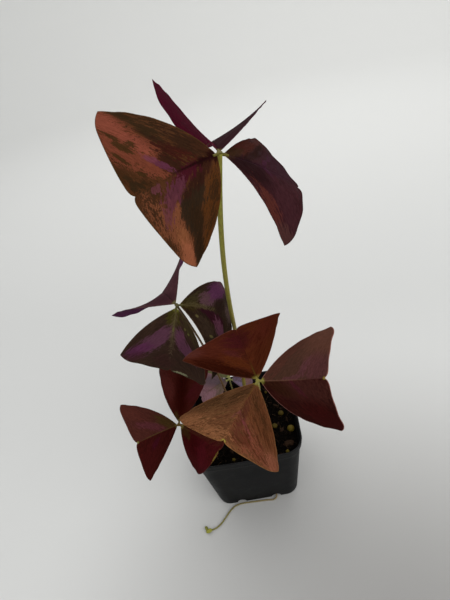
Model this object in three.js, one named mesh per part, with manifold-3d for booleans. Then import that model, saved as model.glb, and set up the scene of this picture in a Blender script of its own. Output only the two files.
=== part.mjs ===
/**
 * Purple shamrock in a square nursery pot.
 *
 * Five trifoliate leaves stand on thin petioles in a thin-walled plastic pot full of potting mix,
 * and a thin shoot comes out of a drainage slot and lies along the surface in front of the pot.
 *
 * Units are millimetres. The origin is the centre of the pot's underside, +Z is up, and the plant
 * leans towards -Y, its front.
 */
import * as THREE from 'three';
import { mergeVertices } from 'three/addons/utils/BufferGeometryUtils.js';
import Module from 'manifold-3d';

const wasm = await Module();
wasm.setup();

// ---------------------------------------------------------------- driving dimensions

const GAP = 0.3; // clear space between two pieces that touch on the real plant

const POT = {
  height: 72,
  topWidth: 89, // across the rim
  baseWidth: 70,
  wall: 1.2,
  floor: 1.5,
  rimHeight: 7,
  rimStep: 1.1, // how far the rim band stands out of the wall below it
  topCorner: 14, // corner radius at the rim
  baseCorner: 11,
  bow: 1.2, // outward bow of a wall at the middle of its side
  slotWidth: 8,
  slotHeight: 5,
  slotOffset: 15, // drainage slot, from the middle of a side
  drainRadius: 3,
  drainOffset: 17, // round drain hole, from the centre along X and along Y
  drainSides: 12,
  cutDepth: 10, // length of the cutter for a slot, more than the wall and its taper
};

const SOIL = {
  level: 64, // mean height of the surface
  relief: 1.6, // height of its mounds
  crown: 1.5, // how far the middle stands above the edge
  rings: [1, 0.86, 0.7, 0.54, 0.38, 0.22], // rings of the surface, as shares of its edge
  bottom: POT.floor + GAP,
};

const BLADE = {
  thickness: 0.7,
  stalk: 2, // from the middle of the hub knob to the leaflet's base
  neck: 0.7, // half width of the leaflet's base
  notch: 0.045, // depth of the notch at the end of the midrib, as a share of the midrib
  notchWidth: 0.04, // half width of the notch, as a share of the far margin
  margin: 0.09, // outward swell of the side margins, as a share of the lobe
  farMargin: 0.03, // the same for the margins between notch and tips, as a share of the midrib
  tipRound: 0.06, // how much of the lobe its rounded tip takes off
  cornerStart: 0.72, // where along the far margin the tip starts to round off
  cornerPower: 2.2, // the higher, the later and blunter the rounding
  marginPower: 1.6, // the higher, the closer the outward swell keeps to the side margin
  neckPower: 6, // the higher, the shorter the neck at the base
  rows: 6, // steps from base to far margin
  columns: 5, // steps from midrib to side margin
};

const KNOB_RADIUS = 1.6; // swelling at the top of a petiole, where its leaflets meet
const FOOT_LEVEL = 56; // how deep the petioles reach down into the soil
const HOLE_MARGIN = 0.5; // a hole's radius over its stem's
const HOLE_DEPTH = 14; // long enough to break out of the soil round a slanting stem
const HOLE_SIDES = 10;
const STEM_SIDES = 8;
const STEM_STEP = 16; // length of one straight step of a petiole
const FOOT_ROUNDING = 1.2; // under the pot's wall, and inside it round the floor
const LIP_ROUNDING = 0.5; // at the top of the rim

/**
 * The leaves. hub is the middle of the knob and foot is the buried end of the petiole; rise and
 * droop are the handles of its curve at the foot and at the hub. A leaflet points along azimuth
 * (0 is +X, 90 is the back), lifted by pitch and turned about its midrib by roll. midrib and lobe
 * are its lengths from base to notch and from base to tip, and spread is the angle between them.
 * The left half lies on the leaflet's left, seen from the hub. Each half is folded up from the
 * midrib by fold and goes on turning by curl towards its margin, and bend curves the midrib
 * itself. Lengths are in millimetres and angles in degrees.
 */
const LEAVES = {
  tall: {
    hub: [25, -71, 314],
    foot: [2, 2, FOOT_LEVEL],
    rise: [14, 34, 88],
    droop: [-18, 3, -86],
    petiole: 1.5,
    colour: 0x6f7a2c,
    leaflets: {
      front: {
        azimuth: -135, pitch: 7, roll: -50, midrib: 38, lobe: 50, spread: 47,
        leftFold: 4, rightFold: 5, leftCurl: -51, rightCurl: -22, bend: -29, colour: 0x8a4a34,
      },
      right: {
        azimuth: 16, pitch: -29, roll: 8, midrib: 39, lobe: 48, spread: 52, margin: 0.03,
        leftFold: 6, rightFold: -8, leftCurl: -2, rightCurl: -46, bend: -19, colour: 0x3f1c28,
      },
      back: {
        azimuth: 95, pitch: 3, roll: 18, midrib: 40, lobe: 56, spread: 46, margin: 0.03,
        leftFold: 32, rightFold: 30, leftCurl: 35, rightCurl: 19, bend: -36, colour: 0x5a1636,
      },
    },
  },
  near: {
    hub: [21, -74, 187],
    foot: [9, -8, FOOT_LEVEL],
    rise: [2, -8, 50],
    droop: [-2, 16, -50],
    petiole: 1.2,
    colour: 0x7d8436,
    leaflets: {
      back: {
        azimuth: 97, pitch: -11, roll: -10, midrib: 36, lobe: 51, spread: 50,
        leftFold: 20, rightFold: 26, leftCurl: 2, rightCurl: 35, bend: 60, colour: 0x5f2418,
      },
      right: {
        azimuth: -23, pitch: 11, roll: 32, midrib: 38, lobe: 52, spread: 47, margin: 0.06,
        leftFold: -1, rightFold: -19, leftCurl: -51, rightCurl: -62, bend: 15, colour: 0x4c2224,
      },
      front: {
        azimuth: -116, pitch: 16, roll: -20, midrib: 40, lobe: 54, spread: 47,
        leftFold: -32, rightFold: -31, leftCurl: -12, rightCurl: -12, bend: -31, colour: 0x84492c,
      },
    },
  },
  middle: {
    hub: [-19, -26, 214],
    foot: [-6, 6, FOOT_LEVEL],
    rise: [-4, 4, 60],
    droop: [6, 20, -50],
    petiole: 0.9,
    colour: 0x6b5a34,
    leaflets: {
      back: {
        azimuth: 119, pitch: 8, roll: -11, midrib: 37, lobe: 60, spread: 42, margin: 0.03,
        leftFold: -6, rightFold: 19, leftCurl: 45, rightCurl: 22, bend: -59, colour: 0x3c2030,
      },
      front: {
        azimuth: -130, pitch: -57, roll: -22, midrib: 41, lobe: 51, spread: 42, margin: 0.07,
        leftFold: 3, rightFold: -2, leftCurl: 61, rightCurl: 36, bend: -14, colour: 0x43293a,
      },
      right: {
        azimuth: 9, pitch: -18, roll: 5, midrib: 40, lobe: 61, spread: 46, margin: 0.05,
        leftFold: 6, rightFold: -18, leftCurl: -2, rightCurl: -29, bend: -52, colour: 0x3f2a36,
      },
    },
  },
  low: {
    hub: [-39, -46, 129],
    foot: [-10, -6, FOOT_LEVEL],
    rise: [-4, -4, 30],
    droop: [10, 14, -24],
    petiole: 0.95,
    colour: 0x74603a,
    leaflets: {
      back: {
        azimuth: 70, pitch: 43, roll: 23, midrib: 37, lobe: 51, spread: 45, margin: 0.05,
        leftFold: -41, rightFold: -42, leftCurl: -32, rightCurl: -32, bend: 6, colour: 0x4a121c,
      },
      left: {
        azimuth: -125, pitch: 38, roll: -45, midrib: 33, lobe: 46, spread: 46, margin: 0.07,
        leftFold: -38, rightFold: -3, leftCurl: -11, rightCurl: -36, bend: -34, colour: 0x4c1a24,
      },
      right: {
        azimuth: -42, pitch: -4, roll: 16, midrib: 31, lobe: 42, spread: 47,
        leftFold: -30, rightFold: -31, leftCurl: -29, rightCurl: -42, bend: -25, colour: 0x481220,
      },
    },
  },
  inner: {
    hub: [-5, 22, 93],
    foot: [-3, 17, FOOT_LEVEL],
    rise: [0, 1, 12],
    droop: [0, -2, -12],
    petiole: 0.9,
    colour: 0x8a8a50,
    leaflets: {
      left: {
        azimuth: -164, pitch: -6, roll: -6, midrib: 26, lobe: 34, spread: 48, margin: 0.03,
        leftFold: 6, rightFold: 24, leftCurl: 5, rightCurl: 5, bend: -20, colour: 0xa0707c,
      },
      right: {
        azimuth: 7, pitch: -38, roll: 0, midrib: 20, lobe: 27, spread: 46, margin: 0.04,
        leftFold: 8, rightFold: 6, leftCurl: 5, rightCurl: 5, bend: 10, colour: 0x7a6478,
      },
      back: {
        azimuth: 102, pitch: 3, roll: 0, midrib: 23, lobe: 32, spread: 50, margin: 0.03,
        leftFold: -15, rightFold: 8, leftCurl: 5, rightCurl: 5, bend: -10, colour: 0x6a6a4c,
      },
    },
  },
};

// The trailing shoot's route, from inside the soil out of the drainage slot and along the surface.
const SHOOT = {
  radius: 0.65,
  steps: 34,
  route: [
    [15, -26, 3.6], [15, -32, 3.2], [15, -36.2, 1.9], [12.5, -37.8, 0.95], [6, -37.4, 0.9],
    [-5, -37, 0.9], [-15, -36.8, 0.9], [-21.5, -38, 0.9], [-26.5, -41.8, 0.9], [-31, -47, 0.9],
    [-35, -51.4, 0.9], [-39, -54.2, 1], [-43, -55.6, 1.3],
  ],
  buds: [
    { at: [-45.2, -56.2, 2.0], size: [2.6, 1.7, 1.6], turn: 20 },
    { at: [-47.6, -53.8, 1.8], size: [2.2, 1.4, 1.4], turn: 110 },
  ],
};

const COLOURS = {
  pot: 0x17181a,
  soil: 0x15110e,
  shoot: 0x9a8a4e,
};

// ---------------------------------------------------------------- helpers

const rad = THREE.MathUtils.degToRad;
const vector = (point) => new THREE.Vector3(...point);

/** A matt or satin material of one colour. */
function finish(colour, roughness) {
  return new THREE.MeshStandardMaterial({ color: colour, roughness, metalness: 0 });
}

/** A closed three.js geometry as a manifold-3d solid. */
function toSolid(geometry) {
  const bare = geometry.clone();
  bare.deleteAttribute('normal');
  bare.deleteAttribute('uv');
  const merged = mergeVertices(bare, 1e-4);
  const mesh = new wasm.Mesh({
    numProp: 3,
    vertProperties: new Float32Array(merged.attributes.position.array),
    triVerts: new Uint32Array(merged.index.array),
  });
  return new wasm.Manifold(mesh);
}

/** A manifold-3d solid as a three.js geometry. */
function toGeometry(solid) {
  const mesh = solid.getMesh();
  const geometry = new THREE.BufferGeometry();
  geometry.setAttribute('position', new THREE.BufferAttribute(new Float32Array(mesh.vertProperties), 3));
  geometry.setIndex(new THREE.BufferAttribute(new Uint32Array(mesh.triVerts), 1));
  geometry.computeVertexNormals();
  return geometry;
}

/** A geometry from a list of points and a list of triangles. */
function fromTriangles(points, triangles) {
  const geometry = new THREE.BufferGeometry().setFromPoints(points);
  geometry.setIndex(triangles.flat());
  geometry.computeVertexNormals();
  return geometry;
}

/** Triangles that join two rings of count points each; the ring at b lies above the one at a. */
function band(a, b, count) {
  const triangles = [];
  for (let i = 0; i < count; i++) {
    const next = (i + 1) % count;
    triangles.push([a + i, a + next, b + next], [a + i, b + next, b + i]);
  }
  return triangles;
}

/** A round bar along a curve. */
function tube(curve, radius, steps) {
  const section = new THREE.Shape();
  for (let i = 0; i < STEM_SIDES; i++) {
    const angle = (2 * Math.PI * i) / STEM_SIDES;
    const [x, y] = [radius * Math.cos(angle), radius * Math.sin(angle)];
    if (i === 0) section.moveTo(x, y);
    else section.lineTo(x, y);
  }
  section.closePath();
  return new THREE.ExtrudeGeometry(section, { steps, extrudePath: curve });
}

// ---------------------------------------------------------------- pot and soil

const CORNER_STEPS = 5;
const SIDE_STEPS = 5;
const QUARTER = Math.PI / 2;

/** A point of a level ring, turned about the pot's axis. */
function turned(x, y, z, angle) {
  return new THREE.Vector3(x, y, z).applyAxisAngle(new THREE.Vector3(0, 0, 1), angle);
}

/**
 * One level ring of the pot: a square of the given half width with rounded corners, its sides
 * bowed outwards. Counterclockwise from above.
 */
function squareRing(half, corner, bow, z) {
  const ring = [];
  const flat = half - corner;
  for (let side = 0; side < 4; side++) {
    for (let i = 0; i < SIDE_STEPS; i++) {
      const along = -flat + (2 * flat * i) / SIDE_STEPS;
      const out = half + bow * Math.cos((along / flat) * QUARTER);
      ring.push(turned(out, along, z, side * QUARTER));
    }
    for (let i = 0; i < CORNER_STEPS; i++) {
      const angle = (QUARTER * i) / CORNER_STEPS;
      const x = flat + corner * Math.cos(angle);
      const y = flat + corner * Math.sin(angle);
      ring.push(turned(x, y, z, side * QUARTER));
    }
  }
  return ring;
}

const RIM_BOTTOM = POT.height - POT.rimHeight;

/** The outer wall's half width, corner radius and bow at a height, without the rim band. */
function wallAt(z) {
  const share = z / POT.height;
  const top = POT.topWidth / 2 - POT.rimStep;
  return {
    half: THREE.MathUtils.lerp(POT.baseWidth / 2, top, share),
    corner: THREE.MathUtils.lerp(POT.baseCorner, POT.topCorner, share),
    bow: POT.bow * Math.sin(Math.PI * Math.min(share, 0.75)),
  };
}

/** A ring of the pot's wall at a height, moved outwards by a distance. */
function wallRing(z, outwards) {
  const { half, corner, bow } = wallAt(z);
  return squareRing(half + outwards, corner + outwards, bow, z);
}

/** A closed solid through rings stacked along its surface, closed by a fan at each end. */
function stackedSolid(rings) {
  const count = rings[0].length;
  const points = rings.flat();
  const triangles = [];
  for (let i = 0; i + 1 < rings.length; i++) {
    triangles.push(...band(i * count, (i + 1) * count, count));
  }
  const ends = [rings[0], rings.at(-1)];
  const starts = [0, (rings.length - 1) * count];
  ends.forEach((ring, end) => {
    const middle = points.length;
    points.push(new THREE.Vector3(0, 0, ring[0].z));
    for (let i = 0; i < count; i++) {
      const here = starts[end] + i;
      const next = starts[end] + ((i + 1) % count);
      triangles.push(end === 0 ? [next, here, middle] : [here, next, middle]);
    }
  });
  return fromTriangles(points, triangles);
}

/** The pot: outer wall up to the lip, inner wall down to the floor, with its drainage cut out. */
function potGeometry() {
  const { height, wall, rimStep } = POT;
  const foot = FOOT_ROUNDING;
  const lip = LIP_ROUNDING;
  const outer = [
    wallRing(0, -foot),
    wallRing(foot, 0),
    wallRing(height * 0.3, 0),
    wallRing(height * 0.6, 0),
    wallRing(RIM_BOTTOM - rimStep, 0),
    wallRing(RIM_BOTTOM, rimStep),
    wallRing(height - lip, rimStep),
    wallRing(height, rimStep - lip),
  ];
  const inner = [
    wallRing(height, rimStep - wall + lip),
    wallRing(height - lip, rimStep - wall),
    wallRing(RIM_BOTTOM + wall, rimStep - wall),
    wallRing(RIM_BOTTOM - rimStep, -wall),
    wallRing(height * 0.6, -wall),
    wallRing(height * 0.3, -wall),
    wallRing(POT.floor + foot, -wall),
    wallRing(POT.floor, -wall - foot),
  ];
  let solid = toSolid(stackedSolid([...outer, ...inner]));
  for (const cut of drainage()) solid = solid.subtract(toSolid(cut));
  return toGeometry(solid);
}

/** The cutters for two arched slots at the foot of each wall and four round holes in the floor. */
function drainage() {
  const cuts = [];
  const { slotWidth, slotHeight, slotOffset, drainRadius, drainOffset, drainSides, cutDepth } = POT;
  const reach = POT.baseWidth / 2;
  const arch = new THREE.Shape();
  arch.moveTo(-slotWidth / 2, -1);
  arch.lineTo(slotWidth / 2, -1);
  arch.lineTo(slotWidth / 2, slotHeight * 0.5);
  arch.lineTo(slotWidth / 4, slotHeight);
  arch.lineTo(-slotWidth / 4, slotHeight);
  arch.lineTo(-slotWidth / 2, slotHeight * 0.5);
  arch.closePath();
  for (let side = 0; side < 4; side++) {
    for (const offset of [-slotOffset, slotOffset]) {
      const cut = new THREE.ExtrudeGeometry(arch, { depth: cutDepth, bevelEnabled: false });
      cut.rotateX(QUARTER).translate(offset, -reach + 4, 0).rotateZ(side * QUARTER);
      cuts.push(cut);
    }
    const hole = new THREE.CylinderGeometry(drainRadius, drainRadius, 3 * POT.floor, drainSides);
    hole.rotateX(QUARTER).translate(drainOffset, drainOffset, 0).rotateZ(side * QUARTER);
    cuts.push(hole);
  }
  return cuts;
}

/** Height of the soil's surface: a low crown with mounds of three sizes. */
function soilHeight(x, y) {
  const mounds = Math.sin(x * 0.17 + 1.2) * Math.cos(y * 0.15 - 0.4) + 0.5 * Math.sin(x * 0.41 - y * 0.37);
  const crown = 1 - Math.hypot(x, y) ** 2 / (POT.topWidth / 2) ** 2;
  return SOIL.level + 0.6 * SOIL.relief * mounds + SOIL.crown * crown;
}

/** The potting mix: it fills the pot to its surface, with a plain hole for every stem. */
function soilGeometry(stems) {
  const inset = -POT.wall - GAP;
  const rings = [
    wallRing(SOIL.bottom, inset - FOOT_ROUNDING),
    wallRing(SOIL.bottom + FOOT_ROUNDING, inset),
    wallRing(POT.height * 0.3, inset),
    wallRing(POT.height * 0.6, inset),
  ];
  const edge = wallRing(SOIL.level, inset);
  const surfacePoint = (x, y) => new THREE.Vector3(x, y, soilHeight(x, y));
  for (const share of SOIL.rings) {
    rings.push(edge.map((p) => surfacePoint(p.x * share, p.y * share)));
  }
  let solid = toSolid(stackedSolid(rings));
  for (const stem of stems) solid = solid.subtract(toSolid(stemHole(stem)));
  return toGeometry(solid);
}

/** A straight hole round a stem's buried end, along the first step of its bar and out of the soil. */
function stemHole({ curve, steps, radius }) {
  const start = curve.getPoint(0);
  const along = curve.getPointAt(1 / steps).sub(start).normalize();
  const hole = new THREE.CylinderGeometry(radius + HOLE_MARGIN, radius + HOLE_MARGIN, HOLE_DEPTH, HOLE_SIDES);
  hole.translate(0, HOLE_DEPTH / 2 - GAP, 0);
  hole.applyQuaternion(new THREE.Quaternion().setFromUnitVectors(new THREE.Vector3(0, 1, 0), along));
  return hole.translate(start.x, start.y, start.z);
}

// ---------------------------------------------------------------- leaflets and petioles

/**
 * A point of one flat half of a leaflet. s runs from the base (0) to the far margin (1), and t
 * from the midrib (0) to the side margin (1). x lies along the midrib and y away from it.
 */
function flatHalf(leaflet, s, t) {
  const { midrib, lobe, margin = BLADE.margin } = leaflet;
  const angle = rad(leaflet.spread);
  const notch = new THREE.Vector2(midrib, 0);
  const tip = new THREE.Vector2(Math.cos(angle), Math.sin(angle)).multiplyScalar(lobe);
  const far = tip.clone().sub(notch);
  const outwards = new THREE.Vector2(far.y, -far.x).normalize();
  const point = notch.clone().addScaledVector(far, t);
  point.addScaledVector(outwards, BLADE.farMargin * midrib * 4 * t * (1 - t));
  point.x += BLADE.notch * midrib * (1 - Math.exp(-t / BLADE.notchWidth)) * (1 - t);
  const corner = THREE.MathUtils.clamp((t - BLADE.cornerStart) / (1 - BLADE.cornerStart), 0, 1);
  const reach = s * (1 - BLADE.tipRound * corner ** BLADE.cornerPower);
  point.multiplyScalar(reach);
  const sideways = new THREE.Vector2(-Math.sin(angle), Math.cos(angle));
  const swell = t ** BLADE.marginPower * margin * lobe;
  point.addScaledVector(sideways, swell * 4 * reach * (1 - reach));
  point.y += BLADE.neck * t * (1 - s) ** BLADE.neckPower;
  return point;
}

/** Where a length lands when it is laid on an arc that starts at an angle and has a curvature. */
function onArc(length, start, curvature) {
  const bend = Math.abs(curvature) < 1e-6 ? 1e-6 : curvature;
  const end = start + bend * length;
  return [(Math.sin(end) - Math.sin(start)) / bend, (Math.cos(start) - Math.cos(end)) / bend];
}

/** A point of a leaflet's middle surface, from its hub. w runs from -1 (right) to 1 (left). */
function bladePoint(leaflet, s, w) {
  const { midrib } = leaflet;
  const flat = flatHalf(leaflet, s, Math.abs(w));
  const fold = rad(w < 0 ? leaflet.rightFold : leaflet.leftFold);
  const curl = rad(w < 0 ? leaflet.rightCurl : leaflet.leftCurl);
  const [across, lift] = onArc(flat.y, fold, curl / midrib);
  const bend = rad(leaflet.bend) / midrib;
  const [along, rise] = onArc(flat.x, 0, bend);
  const turn = bend * flat.x;
  const point = new THREE.Vector3(
    BLADE.stalk + along - lift * Math.sin(turn),
    across * Math.sign(w),
    rise + lift * Math.cos(turn),
  );
  point.applyAxisAngle(new THREE.Vector3(1, 0, 0), rad(leaflet.roll));
  point.applyAxisAngle(new THREE.Vector3(0, 1, 0), -rad(leaflet.pitch));
  return point.applyAxisAngle(new THREE.Vector3(0, 0, 1), rad(leaflet.azimuth));
}

/** The blade's upward direction at a point. */
function bladeNormal(leaflet, s, w) {
  const step = 0.01;
  const [s0, s1] = [Math.max(s - step, 0), Math.min(s + step, 1)];
  const [w0, w1] = [Math.max(w - step, -1), Math.min(w + step, 1)];
  const along = bladePoint(leaflet, s1, w).sub(bladePoint(leaflet, s0, w));
  const across = bladePoint(leaflet, s, w1).sub(bladePoint(leaflet, s, w0));
  return along.cross(across).normalize();
}

/** A leaflet: its middle surface thickened to both sides, and closed round its margin. */
function leafletGeometry(leaflet) {
  const { rows, columns, thickness } = BLADE;
  const across = 2 * columns + 1;
  const upper = [];
  const lower = [];
  for (let row = 0; row <= rows; row++) {
    for (let column = 0; column < across; column++) {
      const s = row / rows;
      const w = column / columns - 1;
      const point = bladePoint(leaflet, s, w);
      const half = bladeNormal(leaflet, s, w).multiplyScalar(thickness / 2);
      upper.push(point.clone().add(half));
      lower.push(point.clone().sub(half));
    }
  }
  const below = upper.length;
  const triangles = [];
  const quad = (a, b, c, d) => triangles.push([a, b, c], [a, c, d]);
  for (let row = 0; row < rows; row++) {
    for (let column = 0; column < across - 1; column++) {
      const a = row * across + column;
      const b = a + across;
      quad(a, b, b + 1, a + 1);
      triangles.push([a + below, b + 1 + below, b + below], [a + below, a + 1 + below, b + 1 + below]);
    }
  }
  const margin = [];
  for (let column = 0; column < across - 1; column++) margin.push(column);
  for (let row = 0; row < rows; row++) margin.push(row * across + across - 1);
  for (let column = across - 1; column > 0; column--) margin.push(rows * across + column);
  for (let row = rows; row > 0; row--) margin.push(row * across);
  margin.forEach((here, i) => {
    const next = margin[(i + 1) % margin.length];
    quad(here, next, next + below, here + below);
  });
  return fromTriangles([...upper, ...lower], triangles);
}

/** A petiole's curve, from its buried foot up to the hub. */
function petioleCurve(leaf) {
  const foot = vector(leaf.foot);
  const hub = vector(leaf.hub);
  const low = vector(leaf.rise).add(foot);
  const high = vector(leaf.droop).add(hub);
  return new THREE.CubicBezierCurve3(foot, low, high, hub);
}

/** How many straight steps a petiole's bar has. */
function petioleSteps(curve) {
  return Math.ceil(curve.getLength() / STEM_STEP) + 2;
}

/** A petiole with the knob at its top. */
function petioleGeometry(leaf) {
  const curve = petioleCurve(leaf);
  const stem = toSolid(tube(curve, leaf.petiole, petioleSteps(curve)));
  const knob = new THREE.IcosahedronGeometry(KNOB_RADIUS, 1).translate(...leaf.hub);
  return toGeometry(stem.add(toSolid(knob)));
}

// ---------------------------------------------------------------- trailing shoot

const shootCurve = new THREE.CatmullRomCurve3(SHOOT.route.map(vector));

/** The shoot with the two small buds at its end. */
function shootGeometry() {
  let solid = toSolid(tube(shootCurve, SHOOT.radius, SHOOT.steps));
  for (const { at, size, turn } of SHOOT.buds) {
    const bud = new THREE.IcosahedronGeometry(1, 1).scale(...size).rotateZ(rad(turn)).translate(...at);
    solid = solid.add(toSolid(bud));
  }
  return toGeometry(solid);
}

// ---------------------------------------------------------------- assembly

const plant = new THREE.Group();

/** Adds a named mesh to the plant. */
function add(name, geometry, material) {
  const mesh = new THREE.Mesh(geometry, material);
  mesh.name = name;
  plant.add(mesh);
  return mesh;
}

const stems = Object.values(LEAVES).map((leaf) => {
  const curve = petioleCurve(leaf);
  return { curve, steps: petioleSteps(curve), radius: leaf.petiole };
});
stems.push({ curve: shootCurve, steps: SHOOT.steps, radius: SHOOT.radius });

add('pot', potGeometry(), finish(COLOURS.pot, 0.45));
add('soil', soilGeometry(stems), finish(COLOURS.soil, 0.95));
for (const [name, leaf] of Object.entries(LEAVES)) {
  add(`petiole_${name}`, petioleGeometry(leaf), finish(leaf.colour, 0.5));
  for (const [side, leaflet] of Object.entries(leaf.leaflets)) {
    const mesh = add(`leaflet_${name}_${side}`, leafletGeometry(leaflet), finish(leaflet.colour, 0.55));
    mesh.position.set(...leaf.hub);
  }
}
add('trailing_shoot', shootGeometry(), finish(COLOURS.shoot, 0.6));

export default plant;
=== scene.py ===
"""A variegated purple shamrock, Oxalis triangularis, in a small square nursery pot.

Five trifoliate leaves stand on thin petioles in a thin-walled black plastic pot of potting mix, and
a thin shoot lies along the surface in front of the pot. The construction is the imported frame; the
classes here give each piece its fine surface and its finish.

Lengths of the plant and the pot are in millimetres and angles in degrees, as a grower would note
them. They become metres where a mesh is made.
"""

import logging
import math
from dataclasses import dataclass
from enum import Enum
from functools import cache, partial
from typing import Any, Callable, Iterable, Iterator, Sequence

import bmesh
import bpy
import numpy as np
from mathutils import Matrix, Vector, noise


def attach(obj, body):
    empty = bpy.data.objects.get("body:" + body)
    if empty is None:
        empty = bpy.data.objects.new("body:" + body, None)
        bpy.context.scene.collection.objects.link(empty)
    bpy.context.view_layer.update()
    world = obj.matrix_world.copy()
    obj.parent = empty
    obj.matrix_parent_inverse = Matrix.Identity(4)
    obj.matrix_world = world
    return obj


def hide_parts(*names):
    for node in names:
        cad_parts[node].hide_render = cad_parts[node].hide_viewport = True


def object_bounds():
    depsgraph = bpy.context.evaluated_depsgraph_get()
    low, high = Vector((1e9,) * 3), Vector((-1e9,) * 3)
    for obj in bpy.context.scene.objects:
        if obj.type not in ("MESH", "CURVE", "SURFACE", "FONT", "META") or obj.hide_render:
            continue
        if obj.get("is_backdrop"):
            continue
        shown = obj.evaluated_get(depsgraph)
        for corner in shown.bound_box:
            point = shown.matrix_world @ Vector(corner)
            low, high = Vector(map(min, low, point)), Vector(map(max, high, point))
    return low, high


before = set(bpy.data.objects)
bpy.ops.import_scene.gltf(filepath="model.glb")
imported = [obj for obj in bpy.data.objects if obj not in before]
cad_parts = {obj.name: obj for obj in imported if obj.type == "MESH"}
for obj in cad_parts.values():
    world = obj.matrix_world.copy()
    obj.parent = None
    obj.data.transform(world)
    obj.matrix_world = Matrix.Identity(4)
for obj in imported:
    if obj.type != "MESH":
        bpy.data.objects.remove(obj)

CAD_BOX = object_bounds()
BODY = "root"
MM = 0.001
FULL_TURN = 2 * math.pi
LOG = logging.getLogger("shamrock")

Points = np.ndarray
Place = tuple[float, float, float]
Faces = list[tuple[int, ...]]
Solid = tuple[Points, Faces]
Object = bpy.types.Object
Material = bpy.types.Material
Node = bpy.types.Node
Socket = bpy.types.NodeSocket
AddNode = Callable[..., Node]

SMOOTH = {"interpolation_type": "SMOOTHSTEP"}  # settings of a Map Range node
COLOURS = {"data_type": "RGBA"}  # settings of a Mix node


# ------------------------------------------------------------------------------- shared helpers


def linear(hex_colour: str) -> tuple[float, float, float, float]:
    """Turns an sRGB hex colour into linear light.

    Args:
        hex_colour: six hex digits, such as "8a4a34".

    Returns:
        Red, green, blue and alpha, from 0 to 1.
    """
    parts = [int(hex_colour[i : i + 2], 16) / 255 for i in (0, 2, 4)]
    red, green, blue = (c / 12.92 if c <= 0.04045 else ((c + 0.055) / 1.055) ** 2.4 for c in parts)
    return red, green, blue, 1.0


def add_node(
    tree: bpy.types.NodeTree, kind: str, inputs: dict | Sequence = (), **settings: Any
) -> Node:
    """Adds one node with its settings, constants and links.

    Args:
        tree: the node tree that gets the node.
        kind: the node's bl_idname.
        inputs: by a socket's name or number, or in the sockets' order, a constant or what feeds
            the socket: an output, or a node, which gives its first output in use.
        settings: attributes of the node itself.

    Returns:
        The new node.
    """
    node = tree.nodes.new(kind)
    for name, value in settings.items():
        setattr(node, name, value)
    for key, value in inputs.items() if isinstance(inputs, dict) else enumerate(inputs):
        if isinstance(value, Node):
            value = next(output for output in value.outputs if output.enabled)
        if isinstance(value, Socket):
            tree.links.new(value, node.inputs[key])
        else:
            node.inputs[key].default_value = value
    return node


def new_material(name: str) -> tuple[Material, AddNode]:
    """Starts a material with an empty node tree.

    Args:
        name: what the real material is.

    Returns:
        The material, and the function that adds its nodes.
    """
    material = bpy.data.materials.new(name)
    material.use_nodes = True
    material.node_tree.nodes.clear()
    return material, partial(add_node, material.node_tree)


def add_object(name: str, data: bpy.types.ID) -> Object:
    """Adds an object at the origin to the scene.

    Args:
        name: its name.
        data: its mesh, curve, light or camera.

    Returns:
        The object.
    """
    obj = bpy.data.objects.new(name, data)
    bpy.context.scene.collection.objects.link(obj)
    return obj


def mesh_object(
    name: str, points: Points, faces: Iterable[Sequence[int]], *materials: Material
) -> Object:
    """Makes a smooth-shaded mesh object at the origin.

    Args:
        name: the object's name.
        points: its vertices in millimetres.
        faces: vertex numbers of each face, counterclockwise from outside.
        materials: its material slots.

    Returns:
        The object.
    """
    mesh = bpy.data.meshes.new(name)
    mesh.from_pydata((np.asarray(points) * MM).tolist(), [], [tuple(f) for f in faces])
    mesh.validate()
    mesh.shade_smooth()
    for material in materials:
        mesh.materials.append(material)
    return add_object(name, mesh)


def store(obj: Object, name: str, values: Points) -> None:
    """Writes one number for each point of a mesh object, for its material to read."""
    layer = obj.data.attributes.new(name, "FLOAT", "POINT")
    layer.data.foreach_set("value", np.asarray(values, np.float32).ravel())


def plain_copy(source: Object, name: str) -> Object:
    """Turns an object with its modifiers into a plain mesh object, and removes the source.

    Args:
        source: the object with live modifiers.
        name: the plain object's name.

    Returns:
        The plain object.
    """
    graph = bpy.context.evaluated_depsgraph_get()
    graph.update()
    evaluated = source.evaluated_get(graph)
    mesh = bpy.data.meshes.new_from_object(
        evaluated, preserve_all_data_layers=True, depsgraph=graph
    )
    mesh.name = name
    bpy.data.objects.remove(source)
    return add_object(name, mesh)


def geometry_tree(name: str, **inputs: Sequence[str]) -> tuple[bpy.types.NodeTree, AddNode, Any]:
    """Starts a geometry tree with named inputs.

    Args:
        name: the tree's name.
        inputs: by kind of socket, such as Float, the names of its inputs besides the geometry.

    Returns:
        The tree, the function that adds its nodes, and the outputs of its input node.
    """
    tree = bpy.data.node_groups.new(name, "GeometryNodeTree")
    for kind, labels in {"Geometry": ["Geometry"], **inputs}.items():
        for label in labels:
            tree.interface.new_socket(label, in_out="INPUT", socket_type=f"NodeSocket{kind}")
    tree.interface.new_socket("Geometry", in_out="OUTPUT", socket_type="NodeSocketGeometry")
    return tree, partial(add_node, tree), tree.nodes.new("NodeGroupInput").outputs


def close_tree(node: AddNode, geometry: Node, material: Socket) -> None:
    """Ends a geometry tree by making its instances real and setting their material."""
    real = node("GeometryNodeRealizeInstances", [geometry])
    dressed = node("GeometryNodeSetMaterial", {"Geometry": real, "Material": material})
    node("NodeGroupOutput", [dressed])


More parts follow.
